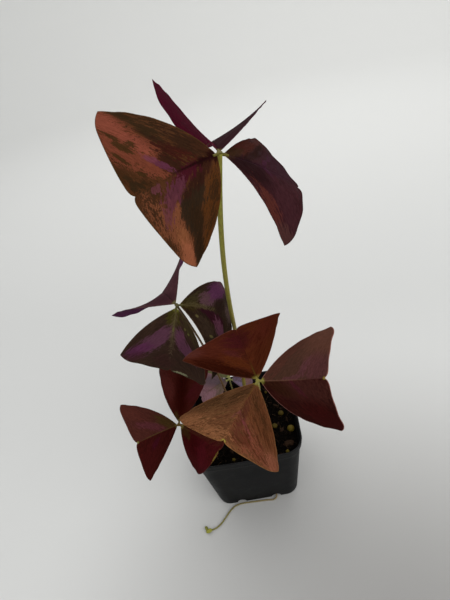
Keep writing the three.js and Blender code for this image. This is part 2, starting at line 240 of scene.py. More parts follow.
def grown(source: Object, tree: bpy.types.NodeTree, name: str, values: dict[str, Any]) -> Object:
    """Runs a geometry tree on an object and makes the result a plain mesh object.

    Args:
        source: the object that the tree starts from. It is removed.
        tree: the geometry tree.
        name: the plain object's name.
        values: the tree's inputs by name.

    Returns:
        The plain object.
    """
    modifier = source.modifiers.new(tree.name, "NODES")
    modifier.node_group = tree
    for item in tree.interface.items_tree:
        if item.name in values:
            modifier[item.identifier] = values[item.name]
    return plain_copy(source, name)


def dress(piece: Object, slot: str, *nodes: str) -> Object:
    """Lets a finished piece ride on the plant's body and hides the nodes that it replaces.

    Args:
        piece: the finished mesh object.
        slot: its material slot in the record; not used.
        nodes: the nodes of the construction that it replaces.

    Returns:
        The piece.
    """
    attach(piece, BODY)
    if nodes:
        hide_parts(*nodes)
    return piece


def unit(vectors: Points) -> Points:
    """Scales vectors to length 1."""
    return vectors / np.maximum(np.linalg.norm(vectors, axis=-1, keepdims=True), 1e-12)


def even_turns(count: int) -> Points:
    """Evenly spaced angles once round, in radians."""
    return np.linspace(0, FULL_TURN, count, endpoint=False)


def stacked(rings: Sequence[Points]) -> Solid:
    """Makes a solid through rings that follow its surface, with a face at each end.

    Args:
        rings: rings of equally many points.

    Returns:
        Its points and faces.
    """
    count = len(rings[0])
    faces: Faces = [tuple(reversed(range(count)))]
    for base in range(0, (len(rings) - 1) * count, count):
        for i in range(base, base + count):
            j = base + (i + 1 - base) % count
            faces.append((i, j, count + j, count + i))
    faces.append(tuple(range((len(rings) - 1) * count, len(rings) * count)))
    return np.concatenate(rings), faces


def merged(solids: Iterable[Solid]) -> Solid:
    """Puts solids together in one.

    Args:
        solids: points and faces of each.

    Returns:
        Points and faces of all.
    """
    points, faces, start = [], [], 0
    for solid, sides in solids:
        points.append(solid)
        faces += [tuple(start + i for i in side) for side in sides]
        start += len(solid)
    return np.concatenate(points), faces


# ------------------------------------------------------------------------------- leaf pigments


class Face(Enum):
    """The two faces of a blade."""

    UPPER = 0
    UNDER = 1


@dataclass(frozen=True)
class Wash:
    """One pigment of a blade and the oval patches that it fills.

    Each patch is given by its centre along the midrib and to the left of it, half of its length,
    half of its width, and where its length runs from the midrib, counterclockwise (0 if left out).
    """

    colour: str
    patches: tuple[tuple[float, ...], ...]
    cover: float = 0.95  # how much of the pigment shows in the middle of a patch
    ragged: float = 0.24  # how far the streaks along the veins tear its edge
    flecks: float = 0.24  # how far the fine flecks tear it
    soft: float = 0.05  # width of its edge
    sparse: float = 0.0  # how far its patches are broken up into flecks
    half: int = 0  # 1 keeps it to the left half, -1 to the right one, 0 lets it cross the midrib

    def field(self, x: Points, y: Points) -> Points:
        """How far points lie inside the wash's patches.

        Args:
            x: their places along the midrib.
            y: their places to the left of it.

        Returns:
            1 at a patch's centre, 0 on its edge and no less than -1 outside, less the sparseness.
        """
        reach = np.full(x.shape, -1.0)
        for middle_x, middle_y, length, width, *turned in self.patches:
            turn = math.radians(sum(turned))
            along = (x - middle_x) * math.cos(turn) + (y - middle_y) * math.sin(turn)
            across = (y - middle_y) * math.cos(turn) - (x - middle_x) * math.sin(turn)
            reach = np.maximum(reach, 1 - np.hypot(along / length, across / width))
        return np.where(self.half * y < 0, -1.0, reach) - self.sparse


@dataclass(frozen=True)
class BladeFinish:
    """The living skin of a leaflet: a satin cuticle over cells full of pigment.

    The pigment lies in streaks between the veins, so every tone follows them. The cuticle gives a
    soft, broad sheen and the cells a fine grain.
    """

    slot: str  # the record's material slot
    ground: str  # the pigment of most of the upper face
    mottle: str  # a second tone, mixed into the ground in streaks
    washes: tuple[Wash, ...] = ()  # further pigments, the later over the earlier
    crease: str = "1c0c0a"  # the fine line along the midrib
    crease_cover: float = 0.6  # how much of it shows at the base
    crease_reach: float = 1.0  # where it has faded out, as a share of the midrib
    crease_width: float = 0.6  # half of its width
    rim: str = "8a5a46"  # the thin margin
    rim_cover: float = 0.4
    base: str = "8c8440"  # the pale base near the stalk
    base_length: float = 3.0
    under: str = "5a1838"  # the lower face
    seed: float = 0.0  # which pattern of streaks it has
    grain: float = 0.22  # how far the flecks lighten and darken it, as a share of the colour


class BladeMaterial:
    """The procedural material of one face of a leaflet, laid out along its side veins.

    Pairs are for the upper and the lower face. The streaks and flecks of the cells between two
    veins are drawn at their real size of a few millimetres and of about one.
    """

    STREAKS = (2.0, 8.0, 0.64)  # width at the midrib, length, and strength of the finer octaves
    FLECKS = (0.9, 2.1, 0.75)
    NOISE_SPAN = (0.28, 0.72)  # what the noise reaches, drawn out to 0 and 1
    HALF_SHIFT = 3.7  # gives the left half another pattern than the right one
    GRAIN = 0.8  # the cells' grain is finer; this is as fine as it shows
    VEIN_WIDTH = 0.42  # half of a side vein's width
    VEIN_WANDER = 0.5  # how far the streaks push a vein aside
    VEIN_SHADE = (-0.03, 0.2)  # how much lighter a vein is
    VEIN_RELIEF = (-0.25, 0.9)  # sunk above and raised below, against the grain and the streaks
    GRAIN_RELIEF = 0.55
    STREAK_RELIEF = 0.4
    CREASE_FADE = 0.5  # over how much of the midrib the line along it fades
    CREASE_CORE = 0.15  # half of the width that it covers fully
    UNDER_CREASE_COVER = 0.35
    RIM = (0.55, 0.15)  # where the margin's colour ends and where it is full
    BASE = (0.4, 0.85)  # where the base's colour is full, and how much of it shows
    UNDER_MOTTLE = 1.7  # how much lighter the lower face's streaks are

    def __init__(self, name: str, blade: "Blade", face: Face) -> None:
        """Starts the material and lays out its veins.

        Args:
            name: the material's name.
            blade: the leaflet.
            face: which of its faces.
        """
        self.blade = blade
        self.finish = blade.finish
        self.face = face.value
        self.material, self.node = new_material(name)
        self.across, self.side, self.vein = self.vein_frame()
        self.streaks = self.stretched_noise(*self.STREAKS)
        self.flecks = self.stretched_noise(*self.FLECKS)
        self.lines = self.vein_lines()

    def build(self) -> Material:
        """Lays the pigments, the midrib's line, the veins and the relief.

        Returns:
            The material.
        """
        node, finish = self.node, self.finish
        if self.face == Face.UPPER.value:
            colour, crease = self.upper_pigments(), finish.crease
        else:
            colour, crease = self.lower_pigments(), finish.base
        layers = {0: self.crease_cover(), 6: colour, 7: linear(crease)}
        colour = node("ShaderNodeMix", layers, **COLOURS)
        shade = {0: self.flecks, 3: 1 - finish.grain, 4: 1 + finish.grain}
        shade = node("ShaderNodeMapRange", shade)
        lighter = self.VEIN_SHADE[self.face]
        shade = node("ShaderNodeMath", (self.lines, lighter, shade), operation="MULTIPLY_ADD")
        skin = {
            "Base Color": node("ShaderNodeHueSaturation", {"Color": colour, "Value": shade}),
            "Roughness": node("ShaderNodeMapRange", {0: self.streaks, 3: 0.6, 4: 0.75}),
            "Normal": self.relief(),
            "IOR": 1.45,
            "Specular IOR Level": 0.012,
        }
        node("ShaderNodeOutputMaterial", [node("ShaderNodeBsdfPrincipled", skin)])
        return self.material

    def vein_frame(self) -> tuple[Node, Node, Node]:
        """Finds each spot's place among the veins, as Blade.vein does for points.

        Returns:
            The distance from the midrib, the half (-1 or 1), and where on the midrib the vein
            begins.
        """
        node, size = self.node, Blade.UV_SIZE
        spot = node("ShaderNodeUVMap", uv_map=Blade.UV_NAME)
        u, v, _ = node("ShaderNodeSeparateXYZ", [spot]).outputs
        x = node("ShaderNodeMath", (u, size), operation="MULTIPLY")
        y = node("ShaderNodeMath", (v, size, -size / 2), operation="MULTIPLY_ADD")
        across = node("ShaderNodeMath", [y], operation="ABSOLUTE")
        side = node("ShaderNodeMath", [y], operation="SIGN")
        ahead = node("ShaderNodeMath", (across, -self.blade.lean, x), operation="MULTIPLY_ADD")
        closing = -Blade.VEIN_CONVERGENCE / self.blade.midrib
        crowd = node("ShaderNodeMath", (across, closing, 1.0), operation="MULTIPLY_ADD")
        crowd = node("ShaderNodeMath", (crowd, Blade.VEIN_CROWDING), operation="MAXIMUM")
        return across, side, node("ShaderNodeMath", (ahead, crowd), operation="DIVIDE")

    def stretched_noise(self, width: float, length: float, roughness: float) -> Node:
        """Noise in streaks along the veins.

        Args:
            width: the streaks' width, in millimetres at the midrib.
            length: their length.
            roughness: how strong its finer octaves are.

        Returns:
            A node that gives 0 to 1.
        """
        node = self.node
        vein = node("ShaderNodeMath", (self.vein, width), operation="DIVIDE")
        across = node("ShaderNodeMath", (self.across, length), operation="DIVIDE")
        depth = (self.side, self.HALF_SHIFT, self.finish.seed)
        depth = node("ShaderNodeMath", depth, operation="MULTIPLY_ADD")
        place = node("ShaderNodeCombineXYZ", (vein, across, depth))
        waves = {"Vector": place, "Scale": 1.0, "Detail": 4.0, "Roughness": roughness}
        waves = node("ShaderNodeTexNoise", waves)
        return node("ShaderNodeMapRange", (waves, *self.NOISE_SPAN), **SMOOTH)

    def vein_lines(self) -> Node:
        """Narrow lines along the side veins.

        Returns:
            A node that gives 1 on a vein and 0 between two.
        """
        node = self.node
        wander = (self.streaks, self.VEIN_WANDER, self.vein)
        wander = node("ShaderNodeMath", wander, operation="MULTIPLY_ADD")
        saw = node("ShaderNodeMath", (wander, Blade.VEIN_SPACING / 2), operation="PINGPONG")
        return node("ShaderNodeMapRange", (saw, 0.0, self.VEIN_WIDTH, 1.0, 0.0), **SMOOTH)

    def upper_pigments(self) -> Node:
        """The upper face's colours: ground, washes, rim and pale base.

        Returns:
            A node that gives the colour.
        """
        node, finish = self.node, self.finish
        layers = {0: self.streaks, 6: linear(finish.ground), 7: linear(finish.mottle)}
        colour = node("ShaderNodeMix", layers, **COLOURS)
        for number, wash in enumerate(finish.washes):
            torn = node("ShaderNodeAttribute", attribute_name=Blade.wash_name(number))
            torn = torn.outputs["Fac"]
            for tear, reach in ((self.streaks, wash.ragged), (self.flecks, wash.flecks)):
                shift = node("ShaderNodeMath", (tear, 2 * reach, -reach), operation="MULTIPLY_ADD")
                torn = node("ShaderNodeMath", (torn, shift), operation="ADD")
            cover = (torn, -wash.soft, wash.soft, 0.0, wash.cover)
            cover = node("ShaderNodeMapRange", cover, **SMOOTH)
            colour = node("ShaderNodeMix", {0: cover, 6: colour, 7: linear(wash.colour)}, **COLOURS)
        cover = self.fade(Blade.EDGE_NAME, *self.RIM, finish.rim_cover)
        colour = node("ShaderNodeMix", {0: cover, 6: colour, 7: linear(finish.rim)}, **COLOURS)
        return self.pale_base(colour)

    def lower_pigments(self) -> Node:
        """The lower face's colour: wine purple, clouded along the veins, with a pale base.

        Returns:
            A node that gives the colour.
        """
        dark = linear(self.finish.under)
        pale = tuple(min(1.0, c * self.UNDER_MOTTLE) for c in dark)
        colour = self.node("ShaderNodeMix", {0: self.streaks, 6: dark, 7: pale}, **COLOURS)
        return self.pale_base(colour)

    def pale_base(self, colour: Node) -> Node:
        """Lays the pale base near the stalk over a colour."""
        cover = self.fade(Blade.BASE_NAME, self.finish.base_length, *self.BASE)
        layers = {0: cover, 6: colour, 7: linear(self.finish.base)}
        return self.node("ShaderNodeMix", layers, **COLOURS)

    def fade(self, attribute: str, far: float, near: float, cover: float) -> Node:
        """A cover that falls off with a distance in millimetres, which an attribute holds."""
        value = self.node("ShaderNodeAttribute", attribute_name=attribute).outputs["Fac"]
        return self.node("ShaderNodeMapRange", (value, near, far, cover, 0.0), **SMOOTH)

    def crease_cover(self) -> Node:
        """The cover of the line along the midrib, which fades out towards the notch.

        Returns:
            A node that gives 0 to 1.
        """
        node, finish, midrib = self.node, self.finish, self.blade.midrib
        end = finish.crease_reach * midrib
        start = (self.vein, end - self.CREASE_FADE * midrib, end, 1.0, 0.0)
        start = node("ShaderNodeMapRange", start, **SMOOTH)
        cover = (finish.crease_cover, self.UNDER_CREASE_COVER)[self.face]
        line = (self.across, self.CREASE_CORE, finish.crease_width, cover, 0.0)
        line = node("ShaderNodeMapRange", line, **SMOOTH)
        return node("ShaderNodeMath", (start, line), operation="MULTIPLY")

    def relief(self) -> Node:
        """Sunk veins on the upper face, raised ones below, and the cells' grain.

        Returns:
            A node that gives the normal.
        """
        node = self.node
        place = node("ShaderNodeTexCoord").outputs["Object"]
        grain = {"Vector": place, "Scale": 1 / (self.GRAIN * MM), "Detail": 2.0}
        grain = node("ShaderNodeTexNoise", grain)
        height = (self.lines, self.VEIN_RELIEF[self.face])
        height = node("ShaderNodeMath", height, operation="MULTIPLY")
        for layer, share in ((grain, self.GRAIN_RELIEF), (self.streaks, self.STREAK_RELIEF)):
            height = node("ShaderNodeMath", (layer, share, height), operation="MULTIPLY_ADD")
        return node("ShaderNodeBump", {"Height": height, "Strength": 0.5, "Distance": 0.25 * MM})


# ------------------------------------------------------------------------------- leaflets


@dataclass(frozen=True)
class Blade:
    """One leaflet: a thin triangular blade, notched at the end of its midrib.

    It points along azimuth, lifted by pitch and turned about its midrib by roll. Each half is
    folded up from the midrib by fold and goes on turning by curl towards its margin, and bend
    curves the midrib itself.
    """

    azimuth: float
    pitch: float
    roll: float
    midrib: float
    lobe: float  # from the base to either tip
    spread: float  # angle between the midrib and the line to a tip
    left_fold: float
    right_fold: float
    left_curl: float
    right_curl: float
    bend: float
    finish: BladeFinish
    margin: float = 0.09  # bulge of the side margins, as a share of the lobe

    UV_NAME = "flat"
    UV_SIZE = 100.0  # millimetres of the flat blade across the UV square
    EDGE_NAME = "from_margin"
    BASE_NAME = "from_base"
    STALK = 2.0  # from the hub to the blade
    NECK, NECK_POWER = 0.7, 6  # half of the blade's width at its base, and how fast it merges
    NOTCH, NOTCH_WIDTH = 0.045, 0.04  # as shares of the midrib and of the far margin
    FAR_MARGIN = 0.03  # bulge of the far margin, as a share of the midrib
    TIP_ROUND, TIP_START, TIP_POWER = 0.06, 0.72, 2.2
    SIDE_POWER = 1.6
    VEIN_SPACING = 4.2
    VEIN_CONVERGENCE = 0.8
    VEIN_CROWDING = 0.2  # the least share of their spacing to which veins close up
    MARGIN_BAND = 2.5  # where the blade thins out towards its margin and waves
    RUFFLE, RUFFLE_ALONG, RUFFLE_ACROSS = 0.25, 0.42, 0.55  # the margin's waves
    QUILT, QUILT_START = 0.03, 3.0  # the skin's swelling between veins
    HALF_THICKNESS, EDGE_SHARE, EDGE_BAND = 0.17, 0.25, 0.5
    GROOVE, GROOVE_WIDTH = 0.14, 0.45  # the sunk midrib of the upper face
    RIB, RIB_WIDTH, RIB_TAPER = 0.42, 0.5, 0.8  # the midrib stands out of the lower face
    ROWS = 54
    COLUMNS = 42  # of one half
    CLOSER = (0.4, 0.3)  # how far columns close up at the margins and rows at the far margin

    @property
    def lean(self) -> float:
        """How far a side vein runs along the midrib for each millimetre away from it."""
        return 1 / math.tan(math.radians(self.spread))

    @staticmethod
    def wash_name(number: int) -> str:
        """Name of the attribute that holds a wash's field."""
        return f"wash_{number}"

    def vein(self, x: Points, y: Points) -> Points:
        """Where on the midrib the vein through a point begins.

        Veins leave the midrib along the side margin's direction near the base and ever more
        steeply further on, so that they run together towards the blade's tip.

        Args:
            x: along the midrib.
            y: away from it.

        Returns:
            The vein's place along the midrib.
        """
        away = np.abs(y)
        return (x - self.lean * away) / np.maximum(
            1 - self.VEIN_CONVERGENCE / self.midrib * away, self.VEIN_CROWDING
        )

    def flat(self, s: Points, w: Points) -> tuple[Points, Points]:
        """Points of the flat blade.

        Args:
            s: from the base (0) to the far margin (1).
            w: from the right margin (-1) over the midrib (0) to the left margin (1).

        Returns:
            Millimetres along the midrib and to its left.
        """
        t = np.abs(w)
        angle = math.radians(self.spread)
        far = self.lobe * np.array([math.cos(angle), math.sin(angle)]) - np.array([self.midrib, 0])
        outwards = np.array([far[1], -far[0]]) / np.hypot(*far)
        swell = self.FAR_MARGIN * self.midrib * 4 * t * (1 - t)
        x = self.midrib + far[0] * t + outwards[0] * swell
        y = far[1] * t + outwards[1] * swell
        x = x + self.NOTCH * self.midrib * (1 - np.exp(-t / self.NOTCH_WIDTH)) * (1 - t)
        corner = np.clip((t - self.TIP_START) / (1 - self.TIP_START), 0, 1)
        reach = s * (1 - self.TIP_ROUND * corner**self.TIP_POWER)
        side = t**self.SIDE_POWER * self.margin * self.lobe * 4 * reach * (1 - reach)
        x = x * reach - math.sin(angle) * side
        y = y * reach + math.cos(angle) * side
        return x, (y + self.NECK * t * (1 - s) ** self.NECK_POWER) * np.sign(w)

    @staticmethod
    def on_arc(length: Points, start: Points, curvature: Points) -> tuple[Points, Points]:
        """Lays a length on an arc.

        Args:
            length: the length.
            start: the arc's angle at its start, in radians.
            curvature: its turn for each millimetre.

        Returns:
            Where the length ends, ahead and up.
        """
        bend = np.where(np.abs(curvature) < 1e-6, 1e-6, curvature)
        end = start + bend * length
        return (np.sin(end) - np.sin(start)) / bend, (np.cos(start) - np.cos(end)) / bend

    def surface(self, s: Points, w: Points) -> Points:
        """Folds, curls, bends and turns the flat blade.

        Args:
            s: as in flat.
            w: as in flat.

        Returns:
            Points of its middle surface, from the hub, in millimetres.
        """
        x, y = self.flat(s, w)
        left = w >= 0
        fold = np.radians(np.where(left, self.left_fold, self.right_fold))
        curl = np.radians(np.where(left, self.left_curl, self.right_curl)) / self.midrib
        across, lift = self.on_arc(np.abs(y), fold, curl)
        bend = math.radians(self.bend) / self.midrib
        along, rise = self.on_arc(x, np.zeros_like(x), np.full_like(x, bend))
        turn = bend * x
        forward = self.STALK + along - lift * np.sin(turn)
        points = np.stack([forward, across * np.sign(w), rise + lift * np.cos(turn)], -1)
        turned = Matrix.Rotation(math.radians(self.azimuth), 3, "Z")
        turned @= Matrix.Rotation(-math.radians(self.pitch), 3, "Y")
        turned @= Matrix.Rotation(math.radians(self.roll), 3, "X")
        return points @ np.array(turned).T

    def normals(self, s: Points, w: Points, step: float = 0.01) -> Points:
        """The blade's upward directions.

        Args:
            s: as in flat.
            w: as in flat.
            step: how far apart the points are that give its slope.

        Returns:
            Vectors of length 1.
        """
        along = self.surface(np.minimum(s + step, 1), w) - self.surface(np.maximum(s - step, 0), w)
        left, right = np.minimum(w + step, 1), np.maximum(w - step, -1)
        across = self.surface(s, left) - self.surface(s, right)
        return unit(np.cross(along, across))

    def grid(self) -> tuple[Points, Points]:
        """The blade's grid, closer at the midrib and at the margins.

        Returns:
            The rows' s and the columns' w, as in flat.
        """
        at_sides, at_end = self.CLOSER
        even = np.linspace(0, 1, self.COLUMNS + 1)
        half = (1 - at_sides) * even + at_sides / 2 * (1 - np.cos(np.pi * even))
        rows = np.linspace(0, 1, self.ROWS + 1)
        s = (1 - at_end) * rows + at_end * np.sin(rows * np.pi / 2)
        return np.meshgrid(s, np.concatenate([-half[:0:-1], half]), indexing="ij")

    def margin_distance(self, x: Points, y: Points, steps: int = 80) -> Points:
        """Distance of flat points from the margin.

        Args:
            x: along the midrib.
            y: to its left.
            steps: how many points stand for each side of the margin.

        Returns:
            The distances in millimetres.
        """
        side, one = np.linspace(0, 1, steps), np.ones(steps)
        edges = ((side, one), (one, side), (one, -side), (side, -one))
        rim = np.concatenate([np.stack(self.flat(*edge), -1) for edge in edges])
        gaps = np.hypot(x.ravel()[:, None] - rim[:, 0], y.ravel()[:, None] - rim[:, 1])
        return gaps.min(1).reshape(x.shape)

    def build(self, name: str, hub: Points) -> Object:
        """Makes the blade's mesh with its flat UV map, its washes and its two materials.

        Args:
            name: the piece's name.
            hub: where the leaflets meet, in millimetres.

        Returns:
            The leaflet.
        """
        s, w = self.grid()
        x, y = self.flat(s, w)
        up = self.normals(s, w)
        edge = self.margin_distance(x, y)
        inside = np.clip(edge / self.MARGIN_BAND, 0, 1)
        quilt = self.QUILT * np.cos(FULL_TURN * self.vein(x, y) / self.VEIN_SPACING) * inside
        quilt *= np.clip(np.abs(y) / self.QUILT_START, 0, 1)
        wave = np.sin(self.RUFFLE_ALONG * x + self.RUFFLE_ACROSS * np.abs(y) + self.finish.seed)
        wave *= self.RUFFLE * (1 - inside) * s**2
        middle = self.surface(s, w) + hub + up * (wave - quilt)[..., None]
        thin = np.sqrt(np.clip(edge / self.EDGE_BAND, 0, 1))
        half = self.HALF_THICKNESS * (self.EDGE_SHARE + (1 - self.EDGE_SHARE) * thin)
        groove = self.GROOVE * np.exp(-((y / self.GROOVE_WIDTH) ** 2)) * inside
        rib = self.RIB * np.exp(-((y / self.RIB_WIDTH) ** 2)) * (1 - self.RIB_TAPER * s)
        upper = middle + up * (half - groove)[..., None]
        lower = middle - up * (half + rib * np.clip(edge, 0, 1))[..., None]
        obj = self.skin(name, upper, lower)
        self.store_uv(obj, x.ravel(), y.ravel())
        fields = {self.EDGE_NAME: edge, self.BASE_NAME: np.hypot(x, y)}
        fields |= {self.wash_name(i): wash.field(x, y) for i, wash in enumerate(self.finish.washes)}
        for field_name, values in fields.items():
            store(obj, field_name, np.stack([values, values]))
        return obj

    def skin(self, name: str, upper: Points, lower: Points) -> Object:
        """Joins the two faces round the margin.

        Args:
            name: the piece's name.
            upper: the upper face's grid of points.
            lower: the lower face's.

        Returns:
            The leaflet, with a material on each face.
        """
        rows, columns = upper.shape[:2]
        number = np.arange(rows * columns).reshape(rows, columns)
        a, b = number[:-1, :-1].ravel(), number[1:, :-1].ravel()
        c, d = number[1:, 1:].ravel(), number[:-1, 1:].ravel()
        below = np.stack([d, c, b, a], -1) + number.size
        ring = (number[0, :-1], number[:-1, -1], number[-1, :0:-1], number[:0:-1, 0])
        ring = np.concatenate(ring)
        following = np.roll(ring, -1)
        wall = np.stack([ring, following, following + number.size, ring + number.size], -1)
        obj = mesh_object(
            name,
            np.concatenate([upper.reshape(-1, 3), lower.reshape(-1, 3)]),
            np.concatenate([np.stack([a, b, c, d], -1), below, wall]).tolist(),
            BladeMaterial(f"{name} cuticle, upper face", self, Face.UPPER).build(),
            BladeMaterial(f"{name} cuticle, lower face", self, Face.UNDER).build(),
        )
        kinds = np.zeros(len(obj.data.polygons), np.int32)
        kinds[len(below) : 2 * len(below)] = Face.UNDER.value
        obj.data.polygons.foreach_set("material_index", kinds)
        return obj

    def store_uv(self, obj: Object, x: Points, y: Points) -> None:
        """Writes the flat outline as the UV map of both faces.

        Args:
            obj: the leaflet.
            x: each point's place along the midrib.
            y: the same to its left.
        """
        uv = np.stack([x / self.UV_SIZE, y / self.UV_SIZE + 0.5], -1)
        corners = np.zeros(len(obj.data.loops), np.int32)
        obj.data.loops.foreach_get("vertex_index", corners)
        flat = np.concatenate([uv, uv])[corners].astype(np.float32).ravel()
        obj.data.uv_layers.new(name=self.UV_NAME).data.foreach_set("uv", flat)


# ------------------------------------------------------------------------------- stems


@dataclass(frozen=True)
class StemFinish:
    """The smooth, juicy skin of a petiole, pulvinus, shoot or bud.

    It gives the eye a soft green gloss with a little light passing through it, and fine streaks of
    a redder or browner flush. The colour shades from foot to top.
    """

    name: str
    top: str  # colour near the leaflets
    foot: str  # colour near the soil
    flush: str  # colour of the streaks
    flush_cover: float = 0.5  # how much of them shows

    # Streaks of about 0.6 by 9 mm: stems stand nearly upright, so they are stretched along Z.
    STREAKS = (1600.0, 1600.0, 110.0)

    @cache
    def material(self) -> Material:
        """Makes the material, which reads how far along the stem a spot lies.

        Returns:
            The material, the same one at every call.
        """
        material, node = new_material(self.name)
        along = node("ShaderNodeAttribute", attribute_name=StemTree.ALONG).outputs["Fac"]
        place = node("ShaderNodeTexCoord").outputs["Object"]
        place = node("ShaderNodeMapping", {"Vector": place, "Scale": self.STREAKS})
        streaks = node("ShaderNodeTexNoise", {"Vector": place, "Scale": 1.0, "Detail": 2.0})
        flush = node("ShaderNodeMapRange", {0: streaks, 1: 0.42, 2: 0.68, 4: self.flush_cover})
        colour = {0: along, 6: linear(self.foot), 7: linear(self.top)}
        colour = node("ShaderNodeMix", colour, **COLOURS)
        colour = {0: flush, 6: colour, 7: linear(self.flush)}
        bump = {"Height": streaks, "Strength": 0.35, "Distance": 0.15 * MM}
        skin = {
            "Base Color": node("ShaderNodeMix", colour, **COLOURS),
            "Roughness": 0.5,
            "IOR": 1.42,
            "Specular IOR Level": 0.15,
            "Normal": node("ShaderNodeBump", bump),
            "Subsurface Weight": 0.12,
            "Subsurface Radius": (0.6, 0.9, 0.2),
            "Subsurface Scale": 0.6 * MM,
        }
        node("ShaderNodeOutputMaterial", [node("ShaderNodeBsdfPrincipled", skin)])
        return material


class StemTree:
    """The geometry tree that turns a curve into a tapered, finely ridged stem."""

    ALONG = "along"
    SIDES = 20

    @classmethod
    @cache
    def tree(cls) -> bpy.types.NodeTree:
        """Builds the tree: resample, taper, sweep a ridged section, and set the material.

        Returns:
            The tree, which all stems share.
        """
        floats = ("Step", "Foot radius", "Top radius", "Ridges", "Ridge depth")
        tree, node, given = geometry_tree("stem along a curve", Float=floats, Material=["Material"])
        curve = {"Curve": given["Geometry"], "Length": given["Step"]}
        curve = node("GeometryNodeResampleCurve", curve, mode="LENGTH")
        along = node("GeometryNodeSplineParameter").outputs["Factor"]
        marked = {"Geometry": curve, "Name": cls.ALONG, "Value": along}
        marked = node("GeometryNodeStoreNamedAttribute", marked, data_type="FLOAT", domain="POINT")
        radius = {0: along, 3: given["Foot radius"], 4: given["Top radius"]}
        radius = node("ShaderNodeMapRange", radius, clamp=False)
        swept = {"Curve": marked, "Profile Curve": cls.section(node, given), "Scale": radius}
        swept = node("GeometryNodeCurveToMesh", {**swept, "Fill Caps": True})
        close_tree(node, node("GeometryNodeSetShadeSmooth", [swept]), given["Material"])
        return tree

    @classmethod
    def section(cls, node: AddNode, given: Any) -> Node:
        """The section of radius 1: a circle with shallow ridges.

        Args:
            node: the function that adds nodes to the tree.
            given: the tree's inputs.

        Returns:
            The node that gives the section.
        """
        circle = node("GeometryNodeCurvePrimitiveCircle", {"Resolution": cls.SIDES, "Radius": 1.0})
        turn = node("GeometryNodeSplineParameter").outputs["Factor"]
        turns = node("ShaderNodeMath", (turn, given["Ridges"]), operation="MULTIPLY")
        angle = node("ShaderNodeMath", (turns, FULL_TURN), operation="MULTIPLY")
        swell = node("ShaderNodeMath", [angle], operation="COSINE")
        scale = node("ShaderNodeMath", (swell, given["Ridge depth"], 1.0), operation="MULTIPLY_ADD")
        scaled = {"Vector": node("GeometryNodeInputPosition"), "Scale": scale}
        scaled = node("ShaderNodeVectorMath", scaled, operation="SCALE")
        return node("GeometryNodeSetPosition", {"Geometry": circle, "Position": scaled})


@dataclass(frozen=True)
class Stem:
    """A thin stem along a path."""

    path: Points  # close enough together to be its line
    foot_radius: float  # at the path's start
    top_radius: float  # at its end
    finish: StemFinish
    ridges: int = 5  # shallow ridges that run along it
    ridge_depth: float = 0.04  # as a share of the radius
    step: float = 1.6  # between two rings of its mesh

    def build(self, name: str) -> Object:
        """Sweeps the stem with Geometry Nodes and applies the result.

        Args:
            name: the piece's name.

        Returns:
            The stem.
        """
        curve = bpy.data.curves.new(name + "_path", "CURVE")
        curve.dimensions = "3D"
        spline = curve.splines.new("POLY")
        spline.points.add(len(self.path) - 1)
        for point, place in zip(spline.points, self.path * MM):
            point.co = (*place, 1.0)
        values = {
            "Step": self.step * MM,
            "Foot radius": self.foot_radius * MM,
            "Top radius": self.top_radius * MM,
            "Ridges": float(self.ridges),
            "Ridge depth": self.ridge_depth,
            "Material": self.finish.material(),
        }
        return grown(add_object(name + "_path", curve), StemTree.tree(), name, values)


def join(name: str, pieces: Sequence[Object]) -> Object:
    """Joins pieces into one object at the origin.

    Args:
        name: its name.
        pieces: the mesh objects.

    Returns:
        The joined object.
    """
    first = pieces[0]
    context = {"active_object": first, "object": first, "selected_editable_objects": pieces}
    with bpy.context.temp_override(**context):
        bpy.ops.object.join()
    first.name = first.data.name = name
    return first


def bezier(a: Points, b: Points, c: Points, d: Points, count: int) -> Points:
    """Points of a cubic Bezier curve."""
    t = np.linspace(0, 1, count)[:, None]
    return (1 - t) ** 3 * a + 3 * t * (1 - t) ** 2 * b + 3 * t**2 * (1 - t) * c + t**3 * d


def catmull_rom(points: Points, count: int) -> Points:
    """Runs a centripetal Catmull-Rom curve through points.

    Args:
        points: what it passes through.
        count: how many points it gets from one of them to the next.

    Returns:
        Points of the curve.
    """
    knots = np.vstack([2 * points[0] - points[1], points, 2 * points[-1] - points[-2]])
    pieces = []
    for i in range(len(points) - 1):
        p0, p1, p2, p3 = knots[i : i + 4]
        t1 = np.linalg.norm(p1 - p0) ** 0.5
        t2 = t1 + np.linalg.norm(p2 - p1) ** 0.5
        t3 = t2 + np.linalg.norm(p3 - p2) ** 0.5
        t = np.linspace(t1, t2, count, endpoint=False)[:, None]
        a1 = (t1 - t) / t1 * p0 + t / t1 * p1
        a2 = (t2 - t) / (t2 - t1) * p1 + (t - t1) / (t2 - t1) * p2
        a3 = (t3 - t) / (t3 - t2) * p2 + (t - t2) / (t3 - t2) * p3
        b1 = (t2 - t) / t2 * a1 + t / t2 * a2
        b2 = (t3 - t) / (t3 - t1) * a2 + (t - t1) / (t3 - t1) * a3
        pieces.append((t2 - t) / (t2 - t1) * b1 + (t - t1) / (t2 - t1) * b2)
    return np.vstack([*pieces, points[-1:]])


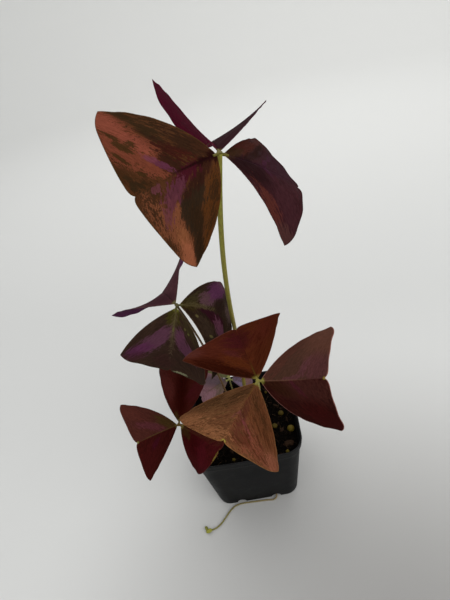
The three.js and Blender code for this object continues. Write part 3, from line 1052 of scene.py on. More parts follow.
@dataclass(frozen=True)
class Leaf:
    """A trifoliate leaf: a petiole, the hub at its top, and three leaflets on short pulvini."""

    name: str
    hub: Place  # where the leaflets meet
    foot: Place  # the petiole's buried end
    rise: Place  # handle of the petiole's curve at the foot
    droop: Place  # the same at the hub
    radius: float  # the petiole's at its foot
    stem: StemFinish
    blades: dict[str, Blade]  # by their place round the hub
    hub_green: str = "565020"

    PATH_STEPS = 160
    TOP_SHARE = 0.78  # the petiole's radius at the hub, as a share of the one at its foot
    KNOB = 1.15  # the knob's radius
    KNOB_ENDS = (-2.4, -0.8, 0.7)  # along the petiole, from the hub
    KNOB_FOOT = 0.7  # its radius at its foot, as a share
    PULVINUS = (0.78, 0.5)  # radius at the hub and at the blade
    FLUSH = 0.3

    def build(self) -> Iterator[Object]:
        """Makes the petiole, the hub and the leaflets.

        Yields:
            Each finished piece.
        """
        hub, foot = np.array(self.hub), np.array(self.foot)
        path = bezier(foot, foot + self.rise, hub + self.droop, hub, self.PATH_STEPS)
        axis = unit(path[-1] - path[-8])
        stalk = Stem(path, self.radius, self.radius * self.TOP_SHARE, self.stem)
        yield dress(stalk.build(f"stalk_{self.name}"), "petiole", f"petiole_{self.name}")
        yield dress(self.build_hub(f"hub_{self.name}", hub, axis), "petiole")
        for side, blade in self.blades.items():
            piece = blade.build(f"blade_{self.name}_{side}", hub)
            yield dress(piece, blade.finish.slot, f"leaflet_{self.name}_{side}")

    def build_hub(self, name: str, hub: Points, axis: Points) -> Object:
        """Makes the knob at the petiole's top and a short swollen pulvinus to each leaflet.

        Args:
            name: the piece's name.
            hub: where the leaflets meet.
            axis: the petiole's direction there.

        Returns:
            The hub.
        """
        green = self.hub_green
        skin = StemFinish(f"{name} pulvini, pale green", green, green, self.stem.foot, self.FLUSH)
        knob = np.array([hub + axis * end for end in self.KNOB_ENDS])
        ball = Stem(knob, self.KNOB * self.KNOB_FOOT, self.KNOB, skin, step=0.5)
        parts = [ball.build(f"{name}_knob")]
        for blade in self.blades.values():
            start, end = blade.surface(np.array([0.0, 0.05]), np.zeros(2)) + hub
            line = np.vstack([hub, (hub + start) / 2, start, end])
            parts.append(Stem(line, *self.PULVINUS, skin, step=0.4).build(f"{name}_pulvinus"))
        return join(name, parts)


# ------------------------------------------------------------------------------- pot


@dataclass(frozen=True)
class PotPlastic:
    """Black polypropylene, vacuum formed.

    It gives the eye a dim satin black, greyed by faint clouds of dust and by scuffs that run round
    the wall, and growing paler towards the rim.
    """

    name: str = "black polypropylene, vacuum formed"
    colour: str = "040405"
    dust: str = "1c1b1b"
    # the grey of the dust clouds, also laid over the wall as it pales towards the rim
    scuff: str = "262524"
    dust_size: float = 9.0  # width of one cloud of dust
    paler_rim: tuple[float, float] = (60.0, 72.0)  # heights between which the wall grows paler towards the rim
    scuff_width: float = 0.35
    scuff_length: float = 6.0
    peel: float = 0.7  # the moulded skin's fine waviness

    def material(self) -> Material:
        """Makes the material.

        Returns:
            The material.
        """
        material, node = new_material(self.name)
        place = node("ShaderNodeTexCoord").outputs["Object"]
        clouds = {"Vector": place, "Scale": 1 / (self.dust_size * MM), "Detail": 6.0}
        clouds = node("ShaderNodeTexNoise", {**clouds, "Roughness": 0.7})
        dust_and_paling = node("ShaderNodeMapRange", {0: clouds, 1: 0.45, 2: 0.7, 4: 0.75})
        height = node("ShaderNodeSeparateXYZ", [place]).outputs["Z"]
        low, high = self.paler_rim
        # the wall grows paler towards the rim
        rim = node("ShaderNodeMapRange", (height, low * MM, high * MM, 0.0, 0.25))
        dust_and_paling = node("ShaderNodeMath", (dust_and_paling, rim), operation="ADD")
        long, thin = 1 / (self.scuff_length * MM), 1 / (self.scuff_width * MM)
        scuffs = node("ShaderNodeMapping", {"Vector": place, "Scale": (long, long, thin)})
        scuffs = {"Vector": scuffs, "Scale": 1.0, "Detail": 3.0, "Roughness": 0.6}
        scuffs = node("ShaderNodeTexNoise", scuffs)
        scuffed = node("ShaderNodeMapRange", {0: scuffs, 1: 0.62, 2: 0.76, 4: 0.5})
        colour = {0: dust_and_paling, 6: linear(self.colour), 7: linear(self.dust)}
        colour = {0: scuffed, 6: node("ShaderNodeMix", colour, **COLOURS), 7: linear(self.scuff)}
        peel = {"Vector": place, "Scale": 1 / (self.peel * MM), "Detail": 2.0}
        peel = node("ShaderNodeTexNoise", peel)
        relief = node("ShaderNodeMath", (scuffs, 0.6, peel), operation="MULTIPLY_ADD")
        bump = {"Height": relief, "Strength": 0.25, "Distance": 0.12 * MM}
        skin = {
            "Base Color": node("ShaderNodeMix", colour, **COLOURS),
            "Roughness": node("ShaderNodeMapRange", (clouds, 0.3, 0.7, 0.45, 0.65)),
            "Normal": node("ShaderNodeBump", bump),
            "IOR": 1.49,
            "Specular IOR Level": 0.15,
        }
        node("ShaderNodeOutputMaterial", [node("ShaderNodeBsdfPrincipled", skin)])
        return material


@dataclass(frozen=True)
class SquareWall:
    """The tapering wall of a square pot with rounded corners and slightly bowed sides."""

    height: float = 72.0
    top_half: float = 43.4  # half of its width at the top, below the rim's band
    base_half: float = 35.0  # the same at the base
    top_corner: float = 14.0  # corner radius at the top
    base_corner: float = 11.0
    bow: float = 1.2  # outward bow at the middle of a side
    side_steps: int = 20  # points along one side
    corner_steps: int = 14  # points round one corner

    def ring(self, z: float, outwards: float) -> Points:
        """One level of the wall, moved outwards, counterclockwise from above.

        Args:
            z: its height.
            outwards: distance outside the wall's outer face.

        Returns:
            The ring's points.
        """
        share = z / self.height
        half = self.base_half + (self.top_half - self.base_half) * share + outwards
        corner = self.base_corner + (self.top_corner - self.base_corner) * share + outwards
        bow = self.bow * math.sin(math.pi * min(share, 0.75))
        flat = half - corner
        along = -flat + 2 * flat * np.arange(self.side_steps) / self.side_steps
        out = half + bow * np.cos(along / flat * math.pi / 2)
        angle = math.pi / 2 * np.arange(self.corner_steps) / self.corner_steps
        x = np.concatenate([out, flat + corner * np.cos(angle)])
        y = np.concatenate([along, flat + corner * np.sin(angle)])
        quarters = [(x, y), (-y, x), (-x, -y), (y, -x)]
        ring = np.concatenate([np.stack(quarter, -1) for quarter in quarters])
        return np.column_stack([ring, np.full(len(ring), z)])


@dataclass(frozen=True)
class NurseryPot:
    """The thin-walled pot: a square cup with a rim band, drainage slots and drain holes."""

    wall: SquareWall = SquareWall()
    thickness: float = 1.2
    floor: float = 1.5
    rim_height: float = 7.0
    rim_step: float = 1.1
    foot_rounding: float = 1.2
    lip_rounding: float = 0.5
    slot_width: float = 8.0
    slot_height: float = 5.0
    slot_offset: float = 15.0
    slot_reach: tuple[float, float] = (4.0, 10.0)  # inwards from the base's edge, and in all
    drain_radius: float = 3.0
    drain_offset: float = 17.0
    sharp_edge: float = 38.0  # edges that turn by more stay sharp
    plastic: PotPlastic = PotPlastic()

    def build(self) -> Iterator[Object]:
        """Makes the pot and cuts its drainage.

        Yields:
            The finished pot.
        """
        pot = mesh_object("nursery_pot", *stacked(self.rings()), self.plastic.material())
        cutter = self.drainage()
        cut = pot.modifiers.new("drainage", "BOOLEAN")
        cut.operation = "DIFFERENCE"
        cut.solver = "EXACT"
        cut.object = cutter
        pot = plain_copy(pot, "nursery_pot")
        bpy.data.objects.remove(cutter)
        pot.data.set_sharp_from_angle(angle=math.radians(self.sharp_edge))
        yield dress(pot, "pot_plastic", "pot")

    def rings(self) -> list[Points]:
        """The rings from the middle of the underside up the outside, and down the inside.

        Returns:
            Rings of the wall.
        """
        top, step, foot = self.wall.height, self.rim_step, self.foot_rounding
        inner, band = -self.thickness, top - self.rim_height
        turns = np.linspace(0, math.pi / 2, 6)
        # Each level is a height and how far the ring stands outside the wall: first the underside,
        # the rounded foot and the sides,
        levels = [(0, -foot - 9), (0, -foot - 2)]
        levels += [(foot * (1 - math.cos(a)), -foot * (1 - math.sin(a))) for a in turns]
        levels += [(z, 0) for z in np.linspace(6, band - 2 * step, 14)]
        # then the flare under the rim's band and the band,
        levels += [(band - step, 0.08), (band - 0.45 * step, 0.45 * step)]
        levels += [(band - 0.1, 0.9 * step), (band + 0.35, step)]
        levels += [(z, step) for z in np.linspace(band + 1, top - self.lip_rounding - 0.4, 5)]
        # the lip, which is half a round,
        lip = self.thickness / 2
        rounds = [(lip * math.sin(a), lip * math.cos(a)) for a in np.linspace(0, math.pi, 9)]
        levels += [(top - lip + rise, step - lip + out) for rise, out in rounds]
        # and the inside down to the floor.
        levels += [(z, step + inner) for z in np.linspace(top - 1.4, band + 1.2, 4)]
        levels += [(z, inner) for z in (band - step, *np.linspace(band - 4, 6, 8))]
        for a in turns:
            z = self.floor + foot * (1 - math.sin(a))
            levels.append((z, inner - foot * (1 - math.cos(a))))
        return [self.wall.ring(z, outwards) for z, outwards in levels]

    def drainage(self) -> Object:
        """The solid of every drainage opening: two arched slots a side and four round holes.

        Returns:
            The cutter.
        """
        arch, circle = np.linspace(0, math.pi, 13), even_turns(32)
        half = self.slot_width / 2
        inwards, reach = self.slot_reach
        x = np.concatenate([half * np.cos(arch), [-half, half]])
        z = np.concatenate([self.slot_height - half + half * np.sin(arch), [-1.0, -1.0]])
        front = np.full(len(x), inwards - self.wall.base_half)
        hole = [self.drain_offset + self.drain_radius * part(circle) for part in (np.cos, np.sin)]
        hole = np.column_stack([*hole, np.full(len(circle), -self.floor)])
        openings = []
        for side in range(4):
            turn = np.array(Matrix.Rotation(side * math.pi / 2, 3, "Z"))
            for offset in (-self.slot_offset, self.slot_offset):
                slot = np.column_stack([x + offset, front, z]) @ turn.T
                openings.append((slot, turn @ (0, -reach, 0)))
            openings.append((hole @ turn.T, (0, 0, 3 * self.floor)))
        cutter = merged(stacked([start, start + shift]) for start, shift in openings)
        cutter = mesh_object("drainage_cutter", *cutter)
        turn_outwards(cutter)
        return cutter


def turn_outwards(obj: Object) -> None:
    """Turns every face of closed bodies outwards.

    Args:
        obj: the mesh object.
    """
    mesh = bmesh.new()
    mesh.from_mesh(obj.data)
    bmesh.ops.recalc_face_normals(mesh, faces=mesh.faces)
    mesh.to_mesh(obj.data)
    mesh.free()


# ------------------------------------------------------------------------------- potting mix


class GrainKind(Enum):
    """What a loose piece of the potting mix is."""

    CRUMB = "crumb"
    BARK = "bark"
    FIBRE = "fibre"
    PRILL = "prill"


@dataclass(frozen=True)
class GrainFinish:
    """The surface of one kind of loose piece, whose own tone each piece carries as an attribute."""

    name: str
    dark: str  # colour of the darkest pieces
    light: str  # colour of the lightest
    roughness: float = 0.9
    grain: float = 0.5  # size of the surface's grain
    bump: float = 0.5  # how rough it is
    specular: float = 0.3

    def material(self) -> Material:
        """Makes the material.

        Returns:
            The material.
        """
        material, node = new_material(self.name)
        tone = node("ShaderNodeAttribute", attribute_name=ScatterTree.TONE).outputs["Fac"]
        place = node("ShaderNodeTexCoord").outputs["Object"]
        grain = {"Vector": place, "Scale": 1 / (self.grain * MM), "Detail": 4.0, "Roughness": 0.65}
        grain = node("ShaderNodeTexNoise", grain)
        tone = node("ShaderNodeMath", (grain, 0.7, tone), operation="MULTIPLY_ADD")
        tone = node("ShaderNodeMapRange", (tone, 0.2, 1.4))
        colour = {0: tone, 6: linear(self.dark), 7: linear(self.light)}
        bump = {"Height": grain, "Strength": self.bump, "Distance": 0.3 * MM}
        skin = {
            "Base Color": node("ShaderNodeMix", colour, **COLOURS),
            "Roughness": self.roughness,
            "Normal": node("ShaderNodeBump", bump),
            "Specular IOR Level": self.specular,
        }
        node("ShaderNodeOutputMaterial", [node("ShaderNodeBsdfPrincipled", skin)])
        return material


class ScatterTree:
    """The geometry tree that scatters loose pieces over a surface and dresses them."""

    TONE = "tone"

    @classmethod
    @cache
    def tree(cls) -> bpy.types.NodeTree:
        """Builds the tree: Poisson points, random turn and size, tone, realize and set material.

        Returns:
            The tree, which all kinds of pieces share.
        """
        floats = ("Spacing", "Density", "Smallest", "Largest", "Tilt", "Lift")
        kinds = {"Collection": ["Pieces"], "Float": floats, "Int": ["Seed"]}
        kinds["Material"] = ["Material"]
        tree, node, given = geometry_tree("loose pieces on a surface", **kinds)
        seed, tilt = given["Seed"], given["Tilt"]
        points = {"Mesh": given["Geometry"], "Distance Min": given["Spacing"]}
        points |= {"Density Max": given["Density"], "Seed": seed}
        points = node("GeometryNodeDistributePointsOnFaces", points, distribute_method="POISSON")
        back = node("ShaderNodeMath", (tilt, -1.0), operation="MULTIPLY")
        turn = {0: node("ShaderNodeCombineXYZ", (back, back, 0.0)), "Seed": seed}
        turn[1] = node("ShaderNodeCombineXYZ", (tilt, tilt, FULL_TURN))
        turn = node("FunctionNodeRandomValue", turn, data_type="FLOAT_VECTOR")
        size = {2: given["Smallest"], 3: given["Largest"], "Seed": seed}
        size = node("FunctionNodeRandomValue", size, data_type="FLOAT")
        shapes = {"Collection": given["Pieces"], "Separate Children": True, "Reset Children": True}
        shapes = node("GeometryNodeCollectionInfo", shapes)
        placed = {"Points": points, "Instance": shapes, "Pick Instance": True, "Scale": size}
        placed["Rotation"] = node("FunctionNodeEulerToRotation", [turn])
        placed = node("GeometryNodeInstanceOnPoints", placed)
        lift = node("ShaderNodeCombineXYZ", {2: given["Lift"]})
        lifted = {0: placed, "Translation": lift, "Local Space": False}
        lifted = node("GeometryNodeTranslateInstances", lifted)
        tone = node("FunctionNodeRandomValue", {2: 0.0, 3: 1.0, "Seed": seed}, data_type="FLOAT")
        toned = {"Geometry": lifted, "Name": cls.TONE, "Value": tone}
        toned = node("GeometryNodeStoreNamedAttribute", toned, data_type="FLOAT", domain="INSTANCE")
        close_tree(node, toned, given["Material"])
        return tree


def lump(radii: Place, roughness: float, seed: float, level: int) -> Solid:
    """An irregular rounded lump.

    Args:
        radii: its half sizes.
        roughness: how far its surface moves in and out, as a share of its size.
        seed: which lump it is.
        level: subdivisions of the icosahedron that it starts from.

    Returns:
        Points and faces.
    """
    ball = bmesh.new()
    bmesh.ops.create_icosphere(ball, subdivisions=level, radius=1.0)
    points = []
    for vertex in ball.verts:
        place = vertex.co * 1.3 + Vector((seed, 2 * seed, 3 * seed))
        points.append(np.array(vertex.co) * (1 + roughness * noise.noise(place)) * radii)
    ball.verts.index_update()
    faces = [tuple(v.index for v in face.verts) for face in ball.faces]
    ball.free()
    return np.array(points), faces


def strand(length: float, radius: float, bend: float, seed: float) -> Solid:
    """A short curved root fibre with five sides.

    Args:
        length: its length.
        radius: half of its thickness at the middle.
        bend: how far it bends, as a share of its length.
        seed: which fibre it is.

    Returns:
        Points and faces.
    """
    t = np.linspace(-0.5, 0.5, 9)
    y = bend * length * (t**2 - 0.08) + 0.06 * length * np.sin(7 * t + seed)
    z = 0.04 * length * np.cos(9 * t + 2 * seed)
    taper = radius * (1 - 0.6 * (2 * np.abs(t)) ** 3)
    around = even_turns(5)
    rings = []
    for i, along in enumerate(length * t):
        across, up = taper[i] * np.cos(around), taper[i] * np.sin(around)
        rings.append(np.column_stack([np.full(5, along), y[i] + across, z[i] + up]))
    return stacked(rings)


@dataclass(frozen=True)
class Grain:
    """One kind of loose piece in the mix, how it is shaped and how densely it lies."""

    kind: GrainKind
    finish: GrainFinish
    radii: Place  # half sizes of a piece of scale 1
    roughness: float  # how irregular it is
    spacing: float  # least distance between two
    density: float  # how many lie on a square centimetre, before the spacing thins them
    scale: tuple[float, float] = (0.6, 1.4)  # smallest and largest
    tilt: float = 180.0  # how far it may tilt
    lift: float = 0.0  # how far its middle stands above the surface
    seed: int = 1

    SHAPES = 7
    LEVEL = 2  # a lump's subdivisions

    def templates(self) -> bpy.types.Collection:
        """Makes the shapes that are scattered.

        Returns:
            A collection of them that the scene doesn't show.
        """
        collection = bpy.data.collections.new(f"{self.kind.value} shapes")
        for number in range(self.SHAPES):
            seed = self.seed + 1.7 * number
            if self.kind is GrainKind.FIBRE:
                solid = strand(2 * self.radii[0], self.radii[1], 0.3 + 0.15 * number, seed)
            else:
                solid = lump(self.radii, self.roughness, seed, self.LEVEL)
            shape = mesh_object(f"{self.kind.value}_{number}", *solid)
            bpy.context.scene.collection.objects.unlink(shape)
            collection.objects.link(shape)
        return collection

    def scatter(self, surface: Solid) -> Object:
        """Scatters the pieces over a surface.

        Args:
            surface: its points and faces.

        Returns:
            All the pieces as one object.
        """
        name = f"{self.kind.value}_pieces"
        values = {
            "Pieces": self.templates(),
            "Spacing": self.spacing * MM,
            "Density": self.density * 1e4,
            "Smallest": self.scale[0],
            "Largest": self.scale[1],
            "Tilt": math.radians(self.tilt),
            "Lift": self.lift * MM,
            "Seed": self.seed,
            "Material": self.finish.material(),
        }
        return grown(mesh_object(name + "_bed", *surface), ScatterTree.tree(), name, values)


@dataclass(frozen=True)
class Pebble:
    """One loose piece that is placed one by one: a fertiliser prill or a chip."""

    x: float
    y: float
    radii: Place
    tone: float
    seed: float
    sunk: float = 0.25  # share of its height that is buried


# Moist peat and its crumbs: matt, and so dark that they give the eye little but depth.
PEAT = GrainFinish("moist peat", "020101", "080503", 0.95, 0.9, 0.9, 0.03)
CRUMBS = GrainFinish("peat crumbs", "020101", "0e0905", 0.95, 0.6, 0.8, 0.03)
# Composted pine bark: matt red-brown flakes that catch the light as dim flecks.
BARK = GrainFinish("composted pine bark", "0a0603", "281a10", 0.9, 0.5, 0.8, 0.06)
# Coir: dry brown threads, paler than the peat.
COIR = GrainFinish("coir fibre", "1c120b", "3c2b1c", 0.9, 0.6, 0.3, 0.1)
# Resin-coated fertiliser: smooth ochre beads, the mix's only light spots.
PRILLS = GrainFinish("resin-coated fertiliser", "2c2208", "52440e", 0.6, 1.5, 0.15, 0.1)


@dataclass(frozen=True)
class PottingMix:
    """The filled pot's peat and bark mix: a crumbly crowned surface strewn with loose pieces."""

    wall: SquareWall = SquareWall(side_steps=26)
    level: float = 64.0
    mounds: float = 0.96  # height of its mounds
    crown: float = 1.5  # how much higher it is in the middle
    crown_radius: float = 44.5
    inset: float = 1.5  # from the wall's outer face
    bottom: float = 1.8
    chamfer: float = 1.2
    crumble: float = 0.55  # height of the surface's own crumbs
    crumb_scale: float = 0.45  # of their noise
    strewn: float = 0.955  # how far out loose pieces lie, as a share of the surface
    grains: tuple[Grain, ...] = (
        Grain(GrainKind.CRUMB, CRUMBS, (0.95, 0.8, 0.65), 0.75, 1.25, 60.0, (0.5, 1.5), seed=3),
        Grain(GrainKind.BARK, BARK, (2.3, 1.3, 0.5), 0.7, 5.5, 3.0, (0.5, 1.3), 26.0, 0.5, seed=8),
        Grain(
            GrainKind.FIBRE, COIR, (4.5, 0.13, 0.13), 0.0, 5.5, 2.5, (0.6, 1.3), 14.0, 0.65,
            seed=11,
        ),
        Grain(
            GrainKind.PRILL, PRILLS, (1.35, 1.3, 1.2), 0.06, 16.0, 0.25, (0.8, 1.25), lift=0.7,
            seed=23,
        ),
    )
    prills: tuple[Pebble, ...] = (
        Pebble(32.2, -1.2, (2.3, 2.2, 2.0), 0.2, 2.0),
        Pebble(25.2, -13.1, (2.2, 2.1, 1.9), 0.3, 5.0),
        Pebble(37.6, -16.8, (2.9, 2.8, 2.5), 0.85, 7.0),
    )
    chips: tuple[Pebble, ...] = (Pebble(33.6, -30.4, (4.2, 2.8, 1.6), 0.9, 4.0, 0.35),)

    PEBBLE_LEVEL = 4  # a pebble's subdivisions

    def height(self, x: Points, y: Points) -> Points:
        """The mounded surface.

        Args:
            x: to the right.
            y: to the back.

        Returns:
            Its height.
        """
        mounds = np.sin(0.17 * x + 1.2) * np.cos(0.15 * y - 0.4) + 0.5 * np.sin(0.41 * x - 0.37 * y)
        crown = 1 - (x**2 + y**2) / self.crown_radius**2
        return self.level + self.mounds * mounds + self.crown * crown

    def surface_rings(self, widest: float, count: int, crumble: float) -> list[Points]:
        """Rings of the surface from near the wall inwards, roughened like crumbs.

        Args:
            widest: the first ring's size, as a share of the surface's.
            count: how many rings.
            crumble: height of the crumbs.

        Returns:
            The rings.
        """
        edge = self.wall.ring(self.level, -self.inset)[:, :2]
        rings = []
        for share in np.linspace(widest, 0.01, count):
            x, y = (edge * share).T
            places = zip(x * self.crumb_scale, y * self.crumb_scale, np.full(len(x), 3.0))
            rough = [noise.fractal(Vector(place), 0.8, 2.2, 3) for place in places]
            rings.append(np.column_stack([x, y, self.height(x, y) + crumble * np.array(rough)]))
        return rings

    def build(self) -> Iterator[Object]:
        """Makes the bed and its loose pieces.

        Yields:
            Each finished piece.
        """
        low = [self.wall.ring(self.bottom, -self.inset - self.chamfer)]
        sides = (0.3 * self.wall.height, 0.6 * self.wall.height, self.level - 1.5)
        low += [self.wall.ring(z, -self.inset) for z in (self.bottom + self.chamfer, *sides)]
        points, faces = stacked(low + self.surface_rings(1.0, 56, self.crumble))
        bed = mesh_object("peat_bed", points, faces, PEAT.material())
        store(bed, ScatterTree.TONE, [0.4 + 0.5 * noise.noise(Vector(p * 0.11)) for p in points])
        yield dress(bed, "potting_mix", "soil")
        points, faces = stacked(self.surface_rings(self.strewn, 24, 0.0))
        for grain in self.grains:
            yield dress(grain.scatter((points, faces[1:])), "potting_mix")
        yield self.laid("prills", self.prills, PRILLS, 0.08)
        yield self.laid("bark_chips", self.chips, BARK, 0.5)

    def laid(
        self, name: str, pebbles: Sequence[Pebble], finish: GrainFinish, roughness: float
    ) -> Object:
        """Lays pebbles on the surface.

        Args:
            name: the name of the piece that they make.
            pebbles: what is laid.
            finish: their surface.
            roughness: how irregular they are.

        Returns:
            The finished piece.
        """
        solids, tones = [], []
        for pebble in pebbles:
            shape, faces = lump(pebble.radii, roughness, pebble.seed, self.PEBBLE_LEVEL)
            rise = self.height(pebble.x, pebble.y) + pebble.radii[2] * (1 - 2 * pebble.sunk)
            solids.append((shape + (pebble.x, pebble.y, rise), faces))
            tones += [pebble.tone] * len(shape)
        obj = mesh_object(name, *merged(solids), finish.material())
        store(obj, ScatterTree.TONE, tones)
        return dress(obj, "potting_mix")


# ------------------------------------------------------------------------------- trailing shoot


@dataclass(frozen=True)
class Bud:
    """A folded young leaf at the shoot's end, in the downy skin of its finish."""

    at: Place
    size: Place
    turn: float
    finish: StemFinish

    COLUMNS, ROWS = 48, 28
    PLEAT = 0.16  # depth of the pleats between its three leaflets
    POINT = 0.12  # how far its ends are drawn out

    def mesh(self) -> Solid:
        """An almond of three folded leaflets: an oval with a pointed end and deep pleats.

        Returns:
            Points and faces.
        """
        u = even_turns(self.COLUMNS)
        rings = []
        for polar in np.linspace(0, math.pi, self.ROWS)[1:-1]:
            pleat = 1 - self.PLEAT * np.abs(np.cos(1.5 * u)) ** 6 * math.sin(polar)
            point = 1 + self.POINT * math.cos(polar) ** 3
            across = math.sin(polar) ** 0.85 * pleat * 0.97
            along = np.full(self.COLUMNS, -math.cos(polar) * point)
            rings.append(np.column_stack([along, across * np.cos(u), across * np.sin(u)]))
        points, faces = stacked(rings)
        turn = np.array(Matrix.Rotation(math.radians(self.turn), 3, "Z"))
        return points * self.size @ turn.T + self.at, faces


# The buds' downy skin: dull straw and dull olive against the smoother shoot.
STRAW_BUD = StemFinish("folded bud 1, downy", "a8903a", "8a8a3a", "a8903a", 0.2)
OLIVE_BUD = StemFinish("folded bud 2, downy", "5c6430", "7a7a3a", "5c6430", 0.2)


@dataclass(frozen=True)
class TrailingShoot:
    """A thin leafless shoot that comes out of a drainage slot and lies along the surface."""

    route: tuple[Place, ...] = (
        (15, -26, 3.6), (15, -32, 3.2), (15, -36.2, 1.9), (12.5, -37.8, 0.95), (6, -37.4, 0.9),
        (-5, -37, 0.9), (-15, -36.8, 0.9), (-21.5, -38, 0.9), (-26.5, -41.8, 0.9), (-31, -47, 0.9),
        (-35, -51.4, 0.9), (-39, -54.2, 1.0), (-43, -55.6, 1.3),
    )
    radius: float = 0.68
    end_share: float = 0.85  # its radius at the end, as a share
    finish: StemFinish = StemFinish("shoot skin, straw to olive", "7c7a3c", "8a7a5c", "6a4a38", 0.5)
    buds: tuple[Bud, ...] = (
        Bud((-45.2, -56.2, 2.0), (2.6, 1.7, 1.6), 20, STRAW_BUD),
        Bud((-47.6, -53.8, 1.8), (2.2, 1.4, 1.4), 110, OLIVE_BUD),
    )

    def build(self) -> Iterator[Object]:
        """Makes the shoot and its buds.

        Yields:
            Each finished piece.
        """
        path = catmull_rom(np.array(self.route, float), 16)
        end = self.radius * self.end_share
        shoot = Stem(path, self.radius, end, self.finish, ridges=4, step=0.8)
        yield dress(shoot.build("runner"), "shoot", "trailing_shoot")
        for number, bud in enumerate(self.buds, 1):
            piece = mesh_object(f"runner_bud_{number}", *bud.mesh(), bud.finish.material())
            yield dress(piece, "shoot")


# ------------------------------------------------------------------------------- studio


@dataclass(frozen=True)
class SoftBox:
    """A round soft light that faces a point."""

    name: str
    place: Place  # in metres, as the rest of the studio
    aim: Place
    size: float  # its diameter
    power: float

    def hang(self) -> None:
        """Adds the light to the scene."""
        light = bpy.data.lights.new(self.name, "AREA")
        light.shape, light.size, light.energy = "DISK", self.size, self.power
        lamp = add_object(self.name, light)
        lamp.location = self.place
        lamp.rotation_euler = (Vector(self.aim) - lamp.location).to_track_quat("-Z", "Y").to_euler()


@dataclass(frozen=True)
class Studio:
    """A pale paper bowl under soft light, and the camera above and in front of the plant."""

    camera_place: Place = (26.0, -248.0, 372.5)
    azimuth: float = -4.0  # direction that the camera faces, clockwise from +Y
    pitch: float = 36.0  # how far it looks down
    roll: float = -13.5  # how far it leans
    focal: float = 451.0  # focal length in pixels of the image's long side
    image_height: float = 600.0  # that side in pixels
    sensor: float = 36.0
    clip: float = 0.01
    floor_radius: float = 1.6  # metres, as the rest of the studio
    cove_radius: float = 1.1  # of the curve from the floor up to the wall
    wall_height: float = 0.6  # above the curve
    sides: int = 72  # of the bowl
    paper: str = "cfcfcc"
    painted_shadow_colour: str = "93918e"  # the colour of a soft shadow painted on the paper, darkest at shade_middle
    shade_middle: Place = (0.1, -0.2, 0.0)
    shade_radius: float = 0.34
    sky_strength: float = 0.66
    sky_colour: str = "f4f6fa"
    lights: tuple[SoftBox, ...] = (
        SoftBox("key_light", (-0.1, 0.5, 1.6), (0.0, 0.0, 0.18), 1.8, 10.5),
        SoftBox("fill_light", (0.75, -1.0, 1.05), (0.0, 0.0, 0.18), 1.5, 12.5),
        SoftBox("wall_light", (0.5, 0.5, 1.9), (0.9, 2.7, 1.5), 1.4, 30.0),
    )

    def build(self) -> None:
        """Makes the backdrop, the sky, the lights and the camera."""
        self.build_backdrop()
        self.build_sky()
        for light in self.lights:
            light.hang()
        self.build_camera()

    def build_backdrop(self) -> None:
        """Makes a disc of floor whose edge curves up all round."""
        profile = [(r, 0.0) for r in (0.004, *np.linspace(0.1, self.floor_radius, 12))]
        for a in np.linspace(0, math.pi / 2, 14)[1:]:
            rise = self.cove_radius * (1 - math.cos(a))
            profile.append((self.floor_radius + self.cove_radius * math.sin(a), rise))
        profile.append((profile[-1][0], profile[-1][1] + self.wall_height))
        around = [(math.cos(a), math.sin(a)) for a in even_turns(self.sides)]
        points = np.array([(r * x, r * y, z) for r, z in profile for x, y in around])
        faces = []
        for a in range(0, len(points) - self.sides, self.sides):
            for i in range(self.sides):
                j = (i + 1) % self.sides
                faces.append((a + i, a + i + self.sides, a + j + self.sides, a + j))
        faces.append(tuple(range(self.sides)))
        mesh_object("paper_backdrop", points / MM, faces, self.paper_material())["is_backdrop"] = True

    def paper_material(self) -> Material:
        """Matt background paper in a soft pale grey, with a soft shadow painted in front of the pot.

        Returns:
            The material.
        """
        material, node = new_material("matt background paper")
        place = node("ShaderNodeTexCoord").outputs["Object"]
        # painted shadow: the paper greys towards shade_middle
        away = node("ShaderNodeVectorMath", (place, self.shade_middle), operation="DISTANCE")
        share = node("ShaderNodeMapRange", (away, 0.0, self.shade_radius), **SMOOTH)
        colour = {0: share, 6: linear(self.painted_shadow_colour), 7: linear(self.paper)}
        colour = node("ShaderNodeMix", colour, **COLOURS)
        skin = {"Base Color": colour, "Roughness": 0.95, "Specular IOR Level": 0.1}
        node("ShaderNodeOutputMaterial", [node("ShaderNodeBsdfPrincipled", skin)])
        return material

    def build_sky(self) -> None:
        """Makes a pale sky all round, shown without a film look."""
        scene = bpy.context.scene
        scene.world = bpy.data.worlds.new("soft sky")
        scene.world.use_nodes = True
        tree = scene.world.node_tree
        tree.nodes.clear()
        sky = add_node(tree, "ShaderNodeBackground", (linear(self.sky_colour), self.sky_strength))
        add_node(tree, "ShaderNodeOutputWorld", [sky])
        scene.view_settings.view_transform = "Standard"
        scene.view_settings.look = "None"

    def build_camera(self) -> None:
        """Makes the camera, at the height and lean from which the leaves' upper faces show."""
        az, pitch, roll = (math.radians(a) for a in (self.azimuth, self.pitch, self.roll))
        flat = math.cos(pitch)
        forward = Vector((math.sin(az) * flat, math.cos(az) * flat, -math.sin(pitch)))
        level = Vector((math.cos(az), -math.sin(az), 0))
        steep = level.cross(forward)
        right = math.cos(roll) * level + math.sin(roll) * steep
        up = -math.sin(roll) * level + math.cos(roll) * steep
        data = bpy.data.cameras.new("camera")
        data.sensor_fit = "AUTO"
        data.sensor_width = self.sensor
        data.lens = self.sensor * self.focal / self.image_height
        data.clip_start = self.clip
        camera = add_object("camera", data)
        turn = Matrix((right, up, -forward)).transposed().to_4x4()
        camera.matrix_world = Matrix.Translation(Vector(self.camera_place) * MM) @ turn
        bpy.context.scene.camera = camera


# ------------------------------------------------------------------------------- the leaves

